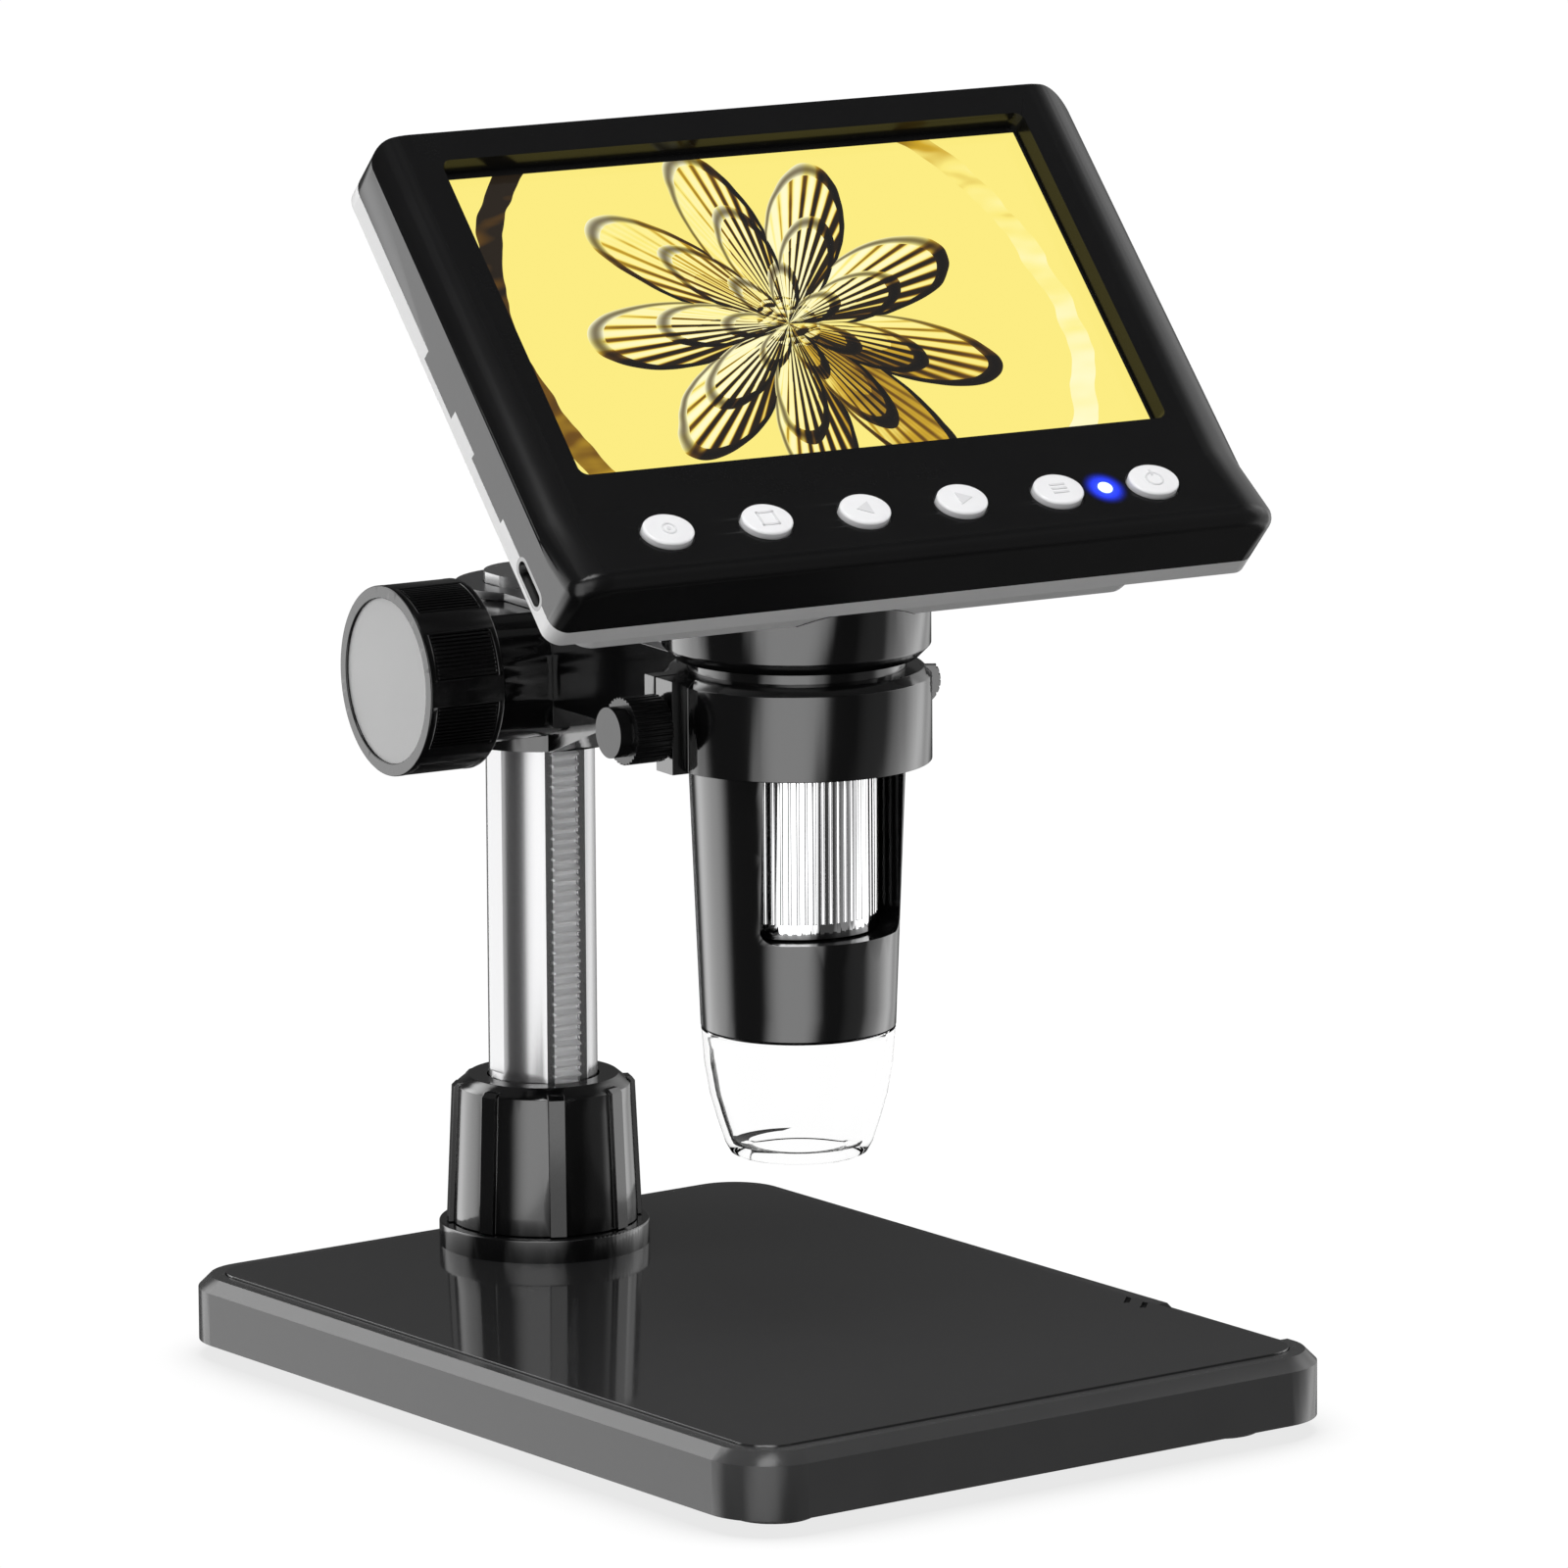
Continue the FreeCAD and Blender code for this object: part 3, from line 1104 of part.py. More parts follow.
def port_tongue():
    """White contact tongue inside the port."""
    half = (PORT_L - PORT_H) / 2
    x1 = -HALF_U + PORT_DEPTH - PORT_WALL
    return to_screen(block(-HALF_U + 1.2, x1, PORT_V - half, PORT_V + half, PORT_W - PORT_TONGUE / 2,
                           PORT_W + PORT_TONGUE / 2))


# Buttons

def button_places():
    """Positions of the six buttons across the chin."""
    return [(i - 2.5) * BUTTON_PITCH for i in range(6)]


def button(u):
    """Oval cap with a flange under the chin."""
    cap = oval(BUTTON_A, BUTTON_B, BUTTON_UNDER, BUTTON_PROUD, u, BUTTON_V)
    rim = [e for e in cap.Edges if e.BoundBox.ZMin > BUTTON_PROUD - 0.01]
    cap = cap.makeFillet(0.4, rim[:1])
    flange = oval(BUTTON_A + GAP + BUTTON_FLANGE, BUTTON_B + GAP + BUTTON_FLANGE, BUTTON_UNDER,
                  BUTTON_UNDER + BUTTON_FLANGE_T, u, BUTTON_V)
    return to_screen(tilt_chin(cap.fuse(flange).removeSplitter()))


def button_board():
    """Narrow board behind the chin."""
    half_v = BUTTON_BOARD_V / 2
    body = block(-BUTTON_BOARD_HALF_U, BUTTON_BOARD_HALF_U, BUTTON_V - half_v, BUTTON_V + half_v,
                 BUTTON_BOARD_TOP - BUTTON_BOARD_T, BUTTON_BOARD_TOP)
    return to_screen(tilt_chin(body))


def button_switches():
    """Six switches on the button board."""
    half = SWITCH_SIDE / 2
    boxes = [block(u - half, u + half, BUTTON_V - half, BUTTON_V + half, BUTTON_BOARD_TOP, SWITCH_TOP)
             for u in button_places()]
    return to_screen(tilt_chin(Part.makeCompound(boxes)))


def status_led():
    """Small lamp between two buttons."""
    return to_screen(tilt_chin(disc(STATUS_LED_R, BUTTON_BOARD_TOP, STATUS_LED_PROUD, LED_U, BUTTON_V)))


def all_parts():
    """Every sub-part by its node name."""
    parts = {
        "base_slab": base_slab(), "stage_plate": stage_plate(), "ballast_plate": ballast_plate(),
        "bottom_cover": bottom_cover(), "bottom_screws": bottom_screws(), "rubber_feet": rubber_feet(),
        "column_bolt": column_bolt(), "column_washer": column_washer(), "column_socket": column_socket(),
        "collar": collar(), "column": column(), "rack": rack(), "carriage": carriage(),
        "axle_bushes": axle_bushes(), "glide_pads": glide_pads(), "top_plate": top_plate(),
        "plate_screws": plate_screws(), "clamp_arm": clamp_arm(), "arm_screws": arm_screws(),
        "ring_tab": ring_tab(), "pinion_axle": pinion_axle(), "pinion": pinion(), "drive_knob": drive_knob(),
        "knob_disc": knob_disc(), "axle_nut": axle_nut(), "clamp_screw": clamp_screw(),
        "clamp_knob": clamp_knob(), "body_tube": body_tube(), "focus_wheel": focus_wheel(),
        "lens_barrel": lens_barrel(), "front_lens": lens(BARREL_BOTTOM + BARREL_STEP),
        "rear_lens": lens(REAR_LENS_Z), "lens_spacer": lens_spacer(), "guide_ring": guide_ring(),
        "hood": hood(), "led_board": led_board(), "leds": leds(), "neck": neck(),
        "neck_screws": neck_screws(),
        "sensor_board": sensor_board(), "image_sensor": image_sensor(), "front_bezel": front_bezel(),
        "back_cover": back_cover(), "cover_screws": cover_screws(), "lcd_panel": lcd_panel(),
        "backlight": backlight(), "main_board": main_board(), "battery": battery(),
        "port_shell": port_shell(), "port_tongue": port_tongue(), "button_board": button_board(),
        "button_switches": button_switches(), "status_led": status_led(),
    }
    for name, u in zip(BUTTON_NAMES, button_places()):
        parts[name] = button(u)
    return parts


os.makedirs("parts", exist_ok=True)
for node, shape in all_parts().items():
    at(shape, BASE_X, 0, 0).exportStep("parts/" + node + ".step")
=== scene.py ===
"""Looks of the digital microscope round its frame: finishes, screen picture, button marks and light."""
from __future__ import annotations

import json
import logging
import math
from dataclasses import dataclass, field
from enum import Enum

import bpy
from mathutils import Matrix, Vector

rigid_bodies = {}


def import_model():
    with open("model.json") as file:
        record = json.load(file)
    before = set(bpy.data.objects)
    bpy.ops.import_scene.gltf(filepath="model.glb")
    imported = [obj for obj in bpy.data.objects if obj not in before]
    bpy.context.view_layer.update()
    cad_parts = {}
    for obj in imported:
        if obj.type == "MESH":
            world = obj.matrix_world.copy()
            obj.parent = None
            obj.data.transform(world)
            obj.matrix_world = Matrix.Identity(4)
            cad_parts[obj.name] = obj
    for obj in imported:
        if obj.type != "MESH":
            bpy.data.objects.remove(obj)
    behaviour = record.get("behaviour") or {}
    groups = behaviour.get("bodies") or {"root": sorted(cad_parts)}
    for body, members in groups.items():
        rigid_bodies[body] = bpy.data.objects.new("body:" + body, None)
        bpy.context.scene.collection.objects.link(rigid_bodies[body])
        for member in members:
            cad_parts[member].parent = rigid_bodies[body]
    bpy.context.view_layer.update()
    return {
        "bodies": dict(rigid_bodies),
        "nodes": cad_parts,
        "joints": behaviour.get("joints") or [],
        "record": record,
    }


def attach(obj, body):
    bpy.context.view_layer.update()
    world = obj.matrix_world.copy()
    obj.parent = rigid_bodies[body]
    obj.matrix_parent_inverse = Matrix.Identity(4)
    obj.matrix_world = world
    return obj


LOG = logging.getLogger("scene")
MM = 0.001
WHITE = (1, 1, 1, 1)
BROAD_GRAIN = 0.12
WEAR = 0.15
BUMP_DEPTH = 0.0002
WELD_GAP = 1e-6
BEVEL_STEPS = 3
SHARP_ANGLE = math.radians(30)
CAD_SHARP_ANGLE = math.radians(32)

HEAD_TURN = math.radians(-6.1)
COLUMN_AXIS = (8.68, 54.2)
ARM_REACH = 75.7
SCREEN_TILT = math.radians(45.36)
SCREEN_POINT = (-3.3, 166.4)
CHIN_START = -34.5
CHIN_ANGLE = math.radians(11.8)
PINION_POINT = (-11.92, 102.7)
KNOB_START = -20.1
KNOB_RADIUS = 14.05
KNOB_LENGTH = 12.3
BUTTON_PITCH = 15.85
BUTTON_V = -5.5
BUTTON_TOP = 0.9


class Icon(Enum):
    """Marks on the six buttons, from left to right."""

    RING = "capture_button"
    SQUARE = "confirm_button"
    LEFT = "up_button"
    RIGHT = "down_button"
    BARS = "menu_button"
    POWER = "power_button"


class Places:
    """Matrices from a sub-assembly's own millimetres to the row frame in metres."""

    @staticmethod
    def column() -> Matrix:
        """About the column's axis."""
        move = Matrix.Translation(Vector((COLUMN_AXIS[0] * MM, COLUMN_AXIS[1] * MM, 0)))
        return move @ Matrix.Rotation(HEAD_TURN, 4, "Z") @ Matrix.Scale(MM, 4)

    @staticmethod
    def tube() -> Matrix:
        """About the camera tube's axis."""
        return Places.column() @ Matrix.Translation((0, -ARM_REACH, 0))

    @staticmethod
    def screen() -> Matrix:
        """u to the right, v up the slope, w out of the glass."""
        turn = Matrix.Rotation(math.pi / 2 - SCREEN_TILT, 4, "X")
        return Places.tube() @ Matrix.Translation((0, *SCREEN_POINT)) @ turn

    @staticmethod
    def chin() -> Matrix:
        """On the sloping strip that carries the buttons."""
        return Places.screen() @ Matrix.Translation((0, CHIN_START, 0)) @ Matrix.Rotation(-CHIN_ANGLE, 4, "X")

    @staticmethod
    def knob() -> Matrix:
        """About the knob's axis, pointing out of its face."""
        return (Places.column() @ Matrix.Translation((KNOB_START, *PINION_POINT))
                @ Matrix.Rotation(-math.pi / 2, 4, "Y"))


@dataclass
class Nodes:
    """Short forms for making and joining nodes in one tree."""

    tree: bpy.types.NodeTree

    def add(self, kind: str) -> bpy.types.Node:
        """New node."""
        return self.tree.nodes.new(kind)

    def link(self, source: bpy.types.NodeSocket, target: bpy.types.NodeSocket) -> None:
        """Join two sockets."""
        self.tree.links.new(source, target)

    def feed(self, socket: bpy.types.NodeSocket, value: object) -> None:
        """Give a socket a link or a constant."""
        if isinstance(value, bpy.types.NodeSocket):
            self.link(value, socket)
        else:
            socket.default_value = value

    def math(self, operation: str, a: object, b: object = None, clamp: bool = False) -> bpy.types.NodeSocket:
        """Math on sockets or numbers."""
        node = self.add("ShaderNodeMath")
        node.operation = operation
        node.use_clamp = clamp
        self.feed(node.inputs[0], a)
        if b is not None:
            self.feed(node.inputs[1], b)
        return node.outputs[0]

    def vector(self, operation: str, a: object, b: object = None) -> bpy.types.NodeSocket:
        """Vector math; a dot product gives its value."""
        node = self.add("ShaderNodeVectorMath")
        node.operation = operation
        self.feed(node.inputs[0], a)
        if b is not None:
            self.feed(node.inputs[1], b)
        return node.outputs["Value" if operation == "DOT_PRODUCT" else "Vector"]

    def span(self, value: object, low: float, high: float, start: float, end: float) -> bpy.types.NodeSocket:
        """Smooth change from start to end while the value goes from low to high."""
        node = self.add("ShaderNodeMapRange")
        node.interpolation_type = "SMOOTHSTEP"
        for name, number in zip(("From Min", "From Max", "To Min", "To Max"), (low, high, start, end)):
            node.inputs[name].default_value = number
        self.feed(node.inputs["Value"], value)
        return node.outputs["Result"]

    def blend(self, factor: object, a: object, b: object) -> bpy.types.NodeSocket:
        """Number between a and b."""
        node = self.add("ShaderNodeMix")
        self.feed(node.inputs["Factor"], factor)
        self.feed(node.inputs["A"], a)
        self.feed(node.inputs["B"], b)
        return node.outputs["Result"]

    def emission(self, strength: object) -> bpy.types.NodeSocket:
        """White surface that gives light."""
        node = self.add("ShaderNodeEmission")
        node.inputs["Color"].default_value = WHITE
        self.feed(node.inputs["Strength"], strength)
        return node.outputs[0]

    def bump(self, height: bpy.types.NodeSocket, strength: float, depth: float) -> bpy.types.NodeSocket:
        """Normal of a surface raised by a height, with the depth in metres."""
        node = self.add("ShaderNodeBump")
        node.inputs["Strength"].default_value = strength
        node.inputs["Distance"].default_value = depth
        self.link(height, node.inputs["Height"])
        return node.outputs["Normal"]

    def mix_shader(self, factor: object, a: bpy.types.NodeSocket, b: bpy.types.NodeSocket
                   ) -> bpy.types.NodeSocket:
        """Surface between two others."""
        node = self.add("ShaderNodeMixShader")
        self.feed(node.inputs[0], factor)
        self.link(a, node.inputs[1])
        self.link(b, node.inputs[2])
        return node.outputs[0]


@dataclass(frozen=True)
class Finish:
    """A procedural surface: a base colour with slight mottling, worn gloss and a fine bump."""

    name: str
    color: tuple[float, float, float]
    metallic: float = 0.0
    roughness: float = 0.3
    mottle: float = 0.06
    grain: float = 900.0
    bump: float = 0.02
    ior: float = 1.46
    transmission: float = 0.0
    glow: float = 0.0
    specular: float = 0.5
    stretch: tuple[float, float, float] = (1.0, 1.0, 1.0)

    def build(self) -> bpy.types.Material:
        """Make the material.

        Returns:
            The finished node material.
        """
        mat = bpy.data.materials.new(self.name)
        mat.use_nodes = True
        nodes = Nodes(mat.node_tree)
        bsdf = mat.node_tree.nodes["Principled BSDF"].inputs
        mapping = nodes.add("ShaderNodeMapping")
        mapping.inputs["Scale"].default_value = self.stretch
        nodes.link(nodes.add("ShaderNodeTexCoord").outputs["Object"], mapping.inputs["Vector"])
        fine = self.noise(nodes, mapping, self.grain)
        broad = self.noise(nodes, mapping, self.grain * BROAD_GRAIN)
        mix = nodes.add("ShaderNodeMix")
        mix.data_type = "RGBA"
        mix.inputs["A"].default_value = (*[c * (1 - self.mottle) for c in self.color], 1)
        mix.inputs["B"].default_value = (*[min(1.0, c * (1 + self.mottle)) for c in self.color], 1)
        nodes.link(broad, mix.inputs["Factor"])
        nodes.link(mix.outputs["Result"], bsdf["Base Color"])
        rough = nodes.add("ShaderNodeMapRange")
        rough.inputs["To Min"].default_value = self.roughness * (1 - WEAR)
        rough.inputs["To Max"].default_value = min(1.0, self.roughness * (1 + WEAR))
        nodes.link(broad, rough.inputs["Value"])
        nodes.link(rough.outputs["Result"], bsdf["Roughness"])
        nodes.link(nodes.bump(fine, self.bump, BUMP_DEPTH), bsdf["Normal"])
        bsdf["Metallic"].default_value = self.metallic
        bsdf["IOR"].default_value = self.ior
        bsdf["Specular IOR Level"].default_value = self.specular
        bsdf["Transmission Weight"].default_value = self.transmission
        if self.glow:
            nodes.link(mix.outputs["Result"], bsdf["Emission Color"])
            bsdf["Emission Strength"].default_value = self.glow
        return mat

    @staticmethod
    def noise(nodes: Nodes, mapping: bpy.types.Node, scale: float) -> bpy.types.NodeSocket:
        """Noise on the mapped object coordinates."""
        node = nodes.add("ShaderNodeTexNoise")
        node.inputs["Scale"].default_value = scale
        node.inputs["Detail"].default_value = 3.0
        nodes.link(mapping.outputs["Vector"], node.inputs["Vector"])
        return node.outputs["Fac"]


FINISHES = (
    Finish("cast_black", (0.046, 0.046, 0.0465), roughness=0.2, bump=0.03, ior=1.25),
    Finish("stage_dark", (0.023, 0.023, 0.0235), roughness=0.07, bump=0.005),
    Finish("steel_weight", (0.10, 0.10, 0.10), metallic=1.0, roughness=0.5),
    Finish("black_plastic", (0.004, 0.004, 0.0042), roughness=0.12, bump=0.01),
    Finish("bezel_black", (0.006, 0.006, 0.0062), roughness=0.2, bump=0.02, ior=1.4, specular=0.22),
    Finish("knob_black", (0.005, 0.005, 0.0052), roughness=0.2, bump=0.02, ior=1.3),
    Finish("port_steel", (0.10, 0.10, 0.10), metallic=1.0, roughness=0.3),
    Finish("satin_black", (0.008, 0.008, 0.008), roughness=0.34, bump=0.06),
    Finish("foot_rubber", (0.012, 0.012, 0.012), roughness=0.7, bump=0.3),
    Finish("zinc_steel", (0.55, 0.55, 0.57), metallic=1.0, roughness=0.3),
    Finish("column_aluminium", (0.22, 0.22, 0.222), metallic=0.8, roughness=0.26, bump=0.02,
           stretch=(1, 1, 0.02)),
    Finish("rack_aluminium", (0.85, 0.85, 0.855), metallic=0.35, roughness=0.3, bump=0.05),
    Finish("bronze", (0.55, 0.33, 0.12), metallic=1.0, roughness=0.35),
    Finish("nylon", (0.75, 0.75, 0.72), roughness=0.5),
    Finish("plate_gray", (0.03, 0.03, 0.031), roughness=0.3),
    Finish("disc_silver", (0.33, 0.33, 0.33), roughness=0.5, bump=0.03),
    Finish("wheel_chrome", (0.45, 0.45, 0.455), metallic=1.0, roughness=0.08, bump=0.01),
    Finish("hood_clear", (1.0, 1.0, 1.0), roughness=0.01, transmission=1.0, bump=0.0, mottle=0.0, ior=1.06),
    Finish("lens_glass", (0.95, 0.97, 1.0), roughness=0.02, transmission=1.0, bump=0.0, mottle=0.0, ior=1.5),
    Finish("circuit_green", (0.01, 0.07, 0.03), roughness=0.35),
    Finish("lamp_white", (0.9, 0.9, 0.8), roughness=0.3),
    Finish("cover_white", (0.66, 0.66, 0.66), roughness=0.45, bump=0.05, ior=1.3),
    Finish("screen_glass", (0.01, 0.01, 0.01), roughness=0.08, bump=0.0),
    Finish("backlight_white", (0.8, 0.8, 0.8), roughness=0.6),
    Finish("cell_gray", (0.25, 0.25, 0.28), roughness=0.5),
    Finish("button_white", (0.78, 0.78, 0.79), roughness=0.4, bump=0.03),
    Finish("lamp_blue", (0.45, 0.58, 1.0), roughness=0.2, glow=1.9),
    Finish("tongue_white", (0.8, 0.8, 0.8), roughness=0.4),
)


@dataclass
class FinishBook:
    """All materials by the record's slot name."""

    made: dict[str, bpy.types.Material] = field(default_factory=dict)

    def get(self, name: str) -> bpy.types.Material:
        """Material of one slot, made when first asked for."""
        if name not in self.made:
            found = next(f for f in FINISHES if f.name == name)
            self.made[name] = found.build()
        return self.made[name]


class Shop:
    """Small modelling steps that leave each piece's object at the origin."""

    @staticmethod
    def settle(name: str, place: Matrix) -> bpy.types.Object:
        """Move the active primitive to its place and freeze it there.

        Args:
            name: The piece's name.
            place: Matrix from the primitive's own space to the row frame.

        Returns:
            The settled object.
        """
        obj = bpy.context.object
        obj.name = name
        obj.data.name = name
        obj.matrix_world = place
        bpy.ops.object.transform_apply(location=True, rotation=True, scale=True)
        return obj

    @staticmethod
    def clear() -> None:
        """Deselect everything."""
        bpy.ops.object.select_all(action="DESELECT")

    @staticmethod
    def box(name: str, place: Matrix, centre: tuple[float, float, float],
            size: tuple[float, float, float]) -> bpy.types.Object:
        """Box by its centre and full size in the place's millimetres."""
        Shop.clear()
        bpy.ops.mesh.primitive_cube_add(size=1.0)
        return Shop.settle(name, place @ Matrix.Translation(centre) @ Matrix.Diagonal((*size, 1)))

    @staticmethod
    def prism(name: str, place: Matrix, centre: tuple[float, float, float], radius: float, depth: float,
              sides: int, turn: float = 0.0) -> bpy.types.Object:
        """Upright prism or cylinder."""
        Shop.clear()
        bpy.ops.mesh.primitive_cylinder_add(vertices=sides, radius=radius, depth=depth)
        return Shop.settle(name, place @ Matrix.Translation(centre) @ Matrix.Rotation(turn, 4, "Z"))

    @staticmethod
    def ring(name: str, place: Matrix, centre: tuple[float, float, float], radius: float, thick: float
             ) -> bpy.types.Object:
        """Torus lying flat."""
        Shop.clear()
        bpy.ops.mesh.primitive_torus_add(major_radius=radius, minor_radius=thick, major_segments=64,
                                         minor_segments=12)
        return Shop.settle(name, place @ Matrix.Translation(centre))

    @staticmethod
    def join(name: str, parts: list[bpy.types.Object]) -> bpy.types.Object:
        """Join pieces into one object."""
        Shop.clear()
        for part in parts:
            part.select_set(True)
        bpy.context.view_layer.objects.active = parts[0]
        bpy.ops.object.join()
        obj = bpy.context.object
        obj.name = name
        obj.data.name = name
        return obj

    @staticmethod
    def finish(obj: bpy.types.Object, material: bpy.types.Material, slot: str, body: str,
               bevel: float = 0.0) -> bpy.types.Object:
        """Give a piece its material, softened edges and body."""
        obj.data.materials.clear()
        obj.data.materials.append(material)
        if bevel:
            soft = obj.modifiers.new("edge", "BEVEL")
            soft.width = bevel * MM
            soft.segments = BEVEL_STEPS
            soft.limit_method = "ANGLE"
        Shop.clear()
        obj.select_set(True)
        bpy.context.view_layer.objects.active = obj
        bpy.ops.object.shade_smooth_by_angle(angle=SHARP_ANGLE)
        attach(obj, body)
        return obj


@dataclass
class FrameDress:
    """Materials and softened edges on the CAD nodes."""

    book: FinishBook
    edge: float = 0.18
    special: dict[str, str] = field(default_factory=lambda: {
        "front_bezel": "bezel_black", "clamp_knob": "bezel_black", "drive_knob": "knob_black",
        "port_shell": "port_steel"})
    edges: dict[str, float] = field(default_factory=lambda: {
        "front_bezel": 0.3, "back_cover": 0.8, "base_slab": 0.3, "stage_plate": 0.12, "clamp_arm": 0.35,
        "neck": 0.3, "collar": 0.3, "drive_knob": 0.25, "carriage": 0.4, "rack": 0.04, "pinion": 0.04,
        "focus_wheel": 0.05, "hood": 0.0, "body_tube": 0.35, "column": 0.12, "clamp_knob": 0.1,
        "button_switches": 0.1, "port_shell": 0.12})

    def dress(self, frame: dict) -> None:
        """Dress every node by the record's slots."""
        slots = {row["node"]: row["material_slot"] for row in frame["record"]["subparts"]}
        for name, obj in frame["nodes"].items():
            obj.data.materials.clear()
            obj.data.materials.append(self.book.get(self.special.get(name, slots[name])))
            self.soften(obj, self.edges.get(name, self.edge))
        LOG.info("dressed %d CAD nodes", len(frame["nodes"]))

    @staticmethod
    def soften(obj: bpy.types.Object, width: float) -> None:
        """Join split vertices, round the sharp edges and shade."""
        weld = obj.modifiers.new("weld", "WELD")
        weld.merge_threshold = WELD_GAP
        if width:
            bevel = obj.modifiers.new("edge", "BEVEL")
            bevel.width = width * MM
            bevel.segments = BEVEL_STEPS
            bevel.limit_method = "ANGLE"
            bevel.angle_limit = CAD_SHARP_ANGLE
            bevel.harden_normals = True


@dataclass(frozen=True)
class Leaves:
    """One whorl of the rosette: leaves, their inner radius and reach, and their turn in radians."""

    count: int
    inner: float
    reach: float
    turn: float


@dataclass
class ScreenPicture:
    """Lit picture area: a struck gold rosette seen close up, drawn by its shader."""

    width: float = 95.04
    height: float = 53.86
    depth: float = -3.32
    middle: tuple[float, float] = (0.47, 0.44)
    whorls: tuple[Leaves, ...] = (Leaves(9, 0.30, 0.30, 0.0), Leaves(9, 0.20, 0.20, 0.35),
                                  Leaves(7, 0.08, 0.12, 0.2))
    core: float = 0.085
    rim: float = 0.80
    lamp: tuple[float, float, float] = (-0.55, 0.62, 0.56)
    tones: tuple[tuple[float, tuple[float, float, float]], ...] = (
        (0.0, (0.012, 0.006, 0.001)), (1.0, (1.0, 0.96, 0.62)), (0.22, (0.16, 0.07, 0.002)),
        (0.42, (0.62, 0.38, 0.02)), (0.54, (0.96, 0.82, 0.20)), (0.70, (0.98, 0.88, 0.30)))
    ink: tuple[float, float, float] = (0.06, 0.03, 0.01)

    def build(self) -> None:
        """Make the picture plate."""
        Shop.clear()
        bpy.ops.mesh.primitive_plane_add(size=1.0)
        place = Places.screen() @ Matrix.Translation((0, 0, self.depth))
        obj = Shop.settle("screen_picture", place @ Matrix.Diagonal((self.width, self.height, 1, 1)))
        Shop.finish(obj, self.material(), "screen_glass", "head_body")
        LOG.info("built %s", obj.name)

    def material(self) -> bpy.types.Material:
        """Emissive gold relief on the plate's own UV."""
        mat = bpy.data.materials.new("screen_light")
        mat.use_nodes = True
        nodes = Nodes(mat.node_tree)
        outline, relief = self.drawing(nodes, nodes.add("ShaderNodeTexCoord").outputs["UV"])
        turn = nodes.add("ShaderNodeVectorTransform")
        turn.vector_type = "NORMAL"
        turn.convert_from = "WORLD"
        turn.convert_to = "OBJECT"
        nodes.link(nodes.bump(relief, 1.0, 0.003), turn.inputs[0])
        toward = (Places.screen().to_3x3() @ Vector(self.lamp)).normalized()
        lean = nodes.vector("DOT_PRODUCT", turn.outputs[0], toward)
        ramp = nodes.add("ShaderNodeValToRGB")
        marks = ramp.color_ramp.elements
        for i, (position, color) in enumerate(self.tones):
            mark = marks[i] if i < 2 else marks.new(position)
            mark.position = position
            mark.color = (*color, 1)
        nodes.link(lean, ramp.inputs["Fac"])
        inked = nodes.add("ShaderNodeMix")
        inked.data_type = "RGBA"
        inked.blend_type = "MULTIPLY"
        inked.inputs["B"].default_value = (*self.ink, 1)
        nodes.link(outline, inked.inputs["Factor"])
        nodes.link(ramp.outputs["Color"], inked.inputs["A"])
        bsdf = mat.node_tree.nodes["Principled BSDF"].inputs
        bsdf["Base Color"].default_value = (0.01, 0.01, 0.01, 1)
        bsdf["Roughness"].default_value = 0.1
        nodes.link(inked.outputs["Result"], bsdf["Emission Color"])
        bsdf["Emission Strength"].default_value = 1.0
        return mat

    def drawing(self, nodes: Nodes, spot: bpy.types.NodeSocket
                ) -> tuple[bpy.types.NodeSocket, bpy.types.NodeSocket]:
        """Outline and relief of the rosette.

        Args:
            nodes: Node maker of the material.
            spot: The plate's UV.

        Returns:
            The outline's strength and the relief's height.
        """
        split = nodes.add("ShaderNodeSeparateXYZ")
        nodes.link(spot, split.inputs[0])
        x = nodes.math("MULTIPLY", nodes.math("SUBTRACT", split.outputs["X"], self.middle[0]),
                       self.width / self.height)
        y = nodes.math("SUBTRACT", split.outputs["Y"], self.middle[1])
        wobble = nodes.add("ShaderNodeTexNoise")
        wobble.inputs["Scale"].default_value = 5.0
        nodes.link(spot, wobble.inputs["Vector"])
        shift = nodes.math("MULTIPLY", nodes.math("SUBTRACT", wobble.outputs["Fac"], 0.5), 0.08)
        square = nodes.math("ADD", nodes.math("MULTIPLY", x, x), nodes.math("MULTIPLY", y, y))
        radius = nodes.math("ADD", nodes.math("SQRT", square), shift)
        angle = nodes.math("ARCTAN2", y, x)
        outline = nodes.math("ADD", 0.0, 0.0)
        heights = []
        for leaves in self.whorls:
            wave = nodes.math("SINE", nodes.math("ADD", nodes.math("MULTIPLY", angle, leaves.count / 2),
                                                 leaves.turn))
            limit = nodes.math("ADD", nodes.math("MULTIPLY", nodes.math("ABSOLUTE", wave), leaves.reach),
                               leaves.inner)
            inside = nodes.math("SUBTRACT", limit, radius)
            step = nodes.math("MULTIPLY", inside, 22.0, True)
            edge = nodes.math("MULTIPLY", step, nodes.math("SUBTRACT", 1.0, step))
            outline = nodes.math("MAXIMUM", outline, nodes.math("MULTIPLY", edge, 3.4))
            vein = nodes.math("SINE", nodes.math("MULTIPLY", angle, leaves.count * 9.0))
            vein = nodes.math("MULTIPLY", vein, nodes.math("MULTIPLY", radius, 0.13))
            dome = nodes.math("MULTIPLY", nodes.math("MULTIPLY", inside, 3.2, True), 1.1)
            heights.append(nodes.math("MULTIPLY", nodes.math("ADD", step, dome),
                                      nodes.math("ADD", 1.0, vein)))
        relief = nodes.math("ADD", nodes.math("ADD", heights[0], heights[1]), heights[2])
        beads = nodes.add("ShaderNodeTexVoronoi")
        beads.inputs["Scale"].default_value = 46.0
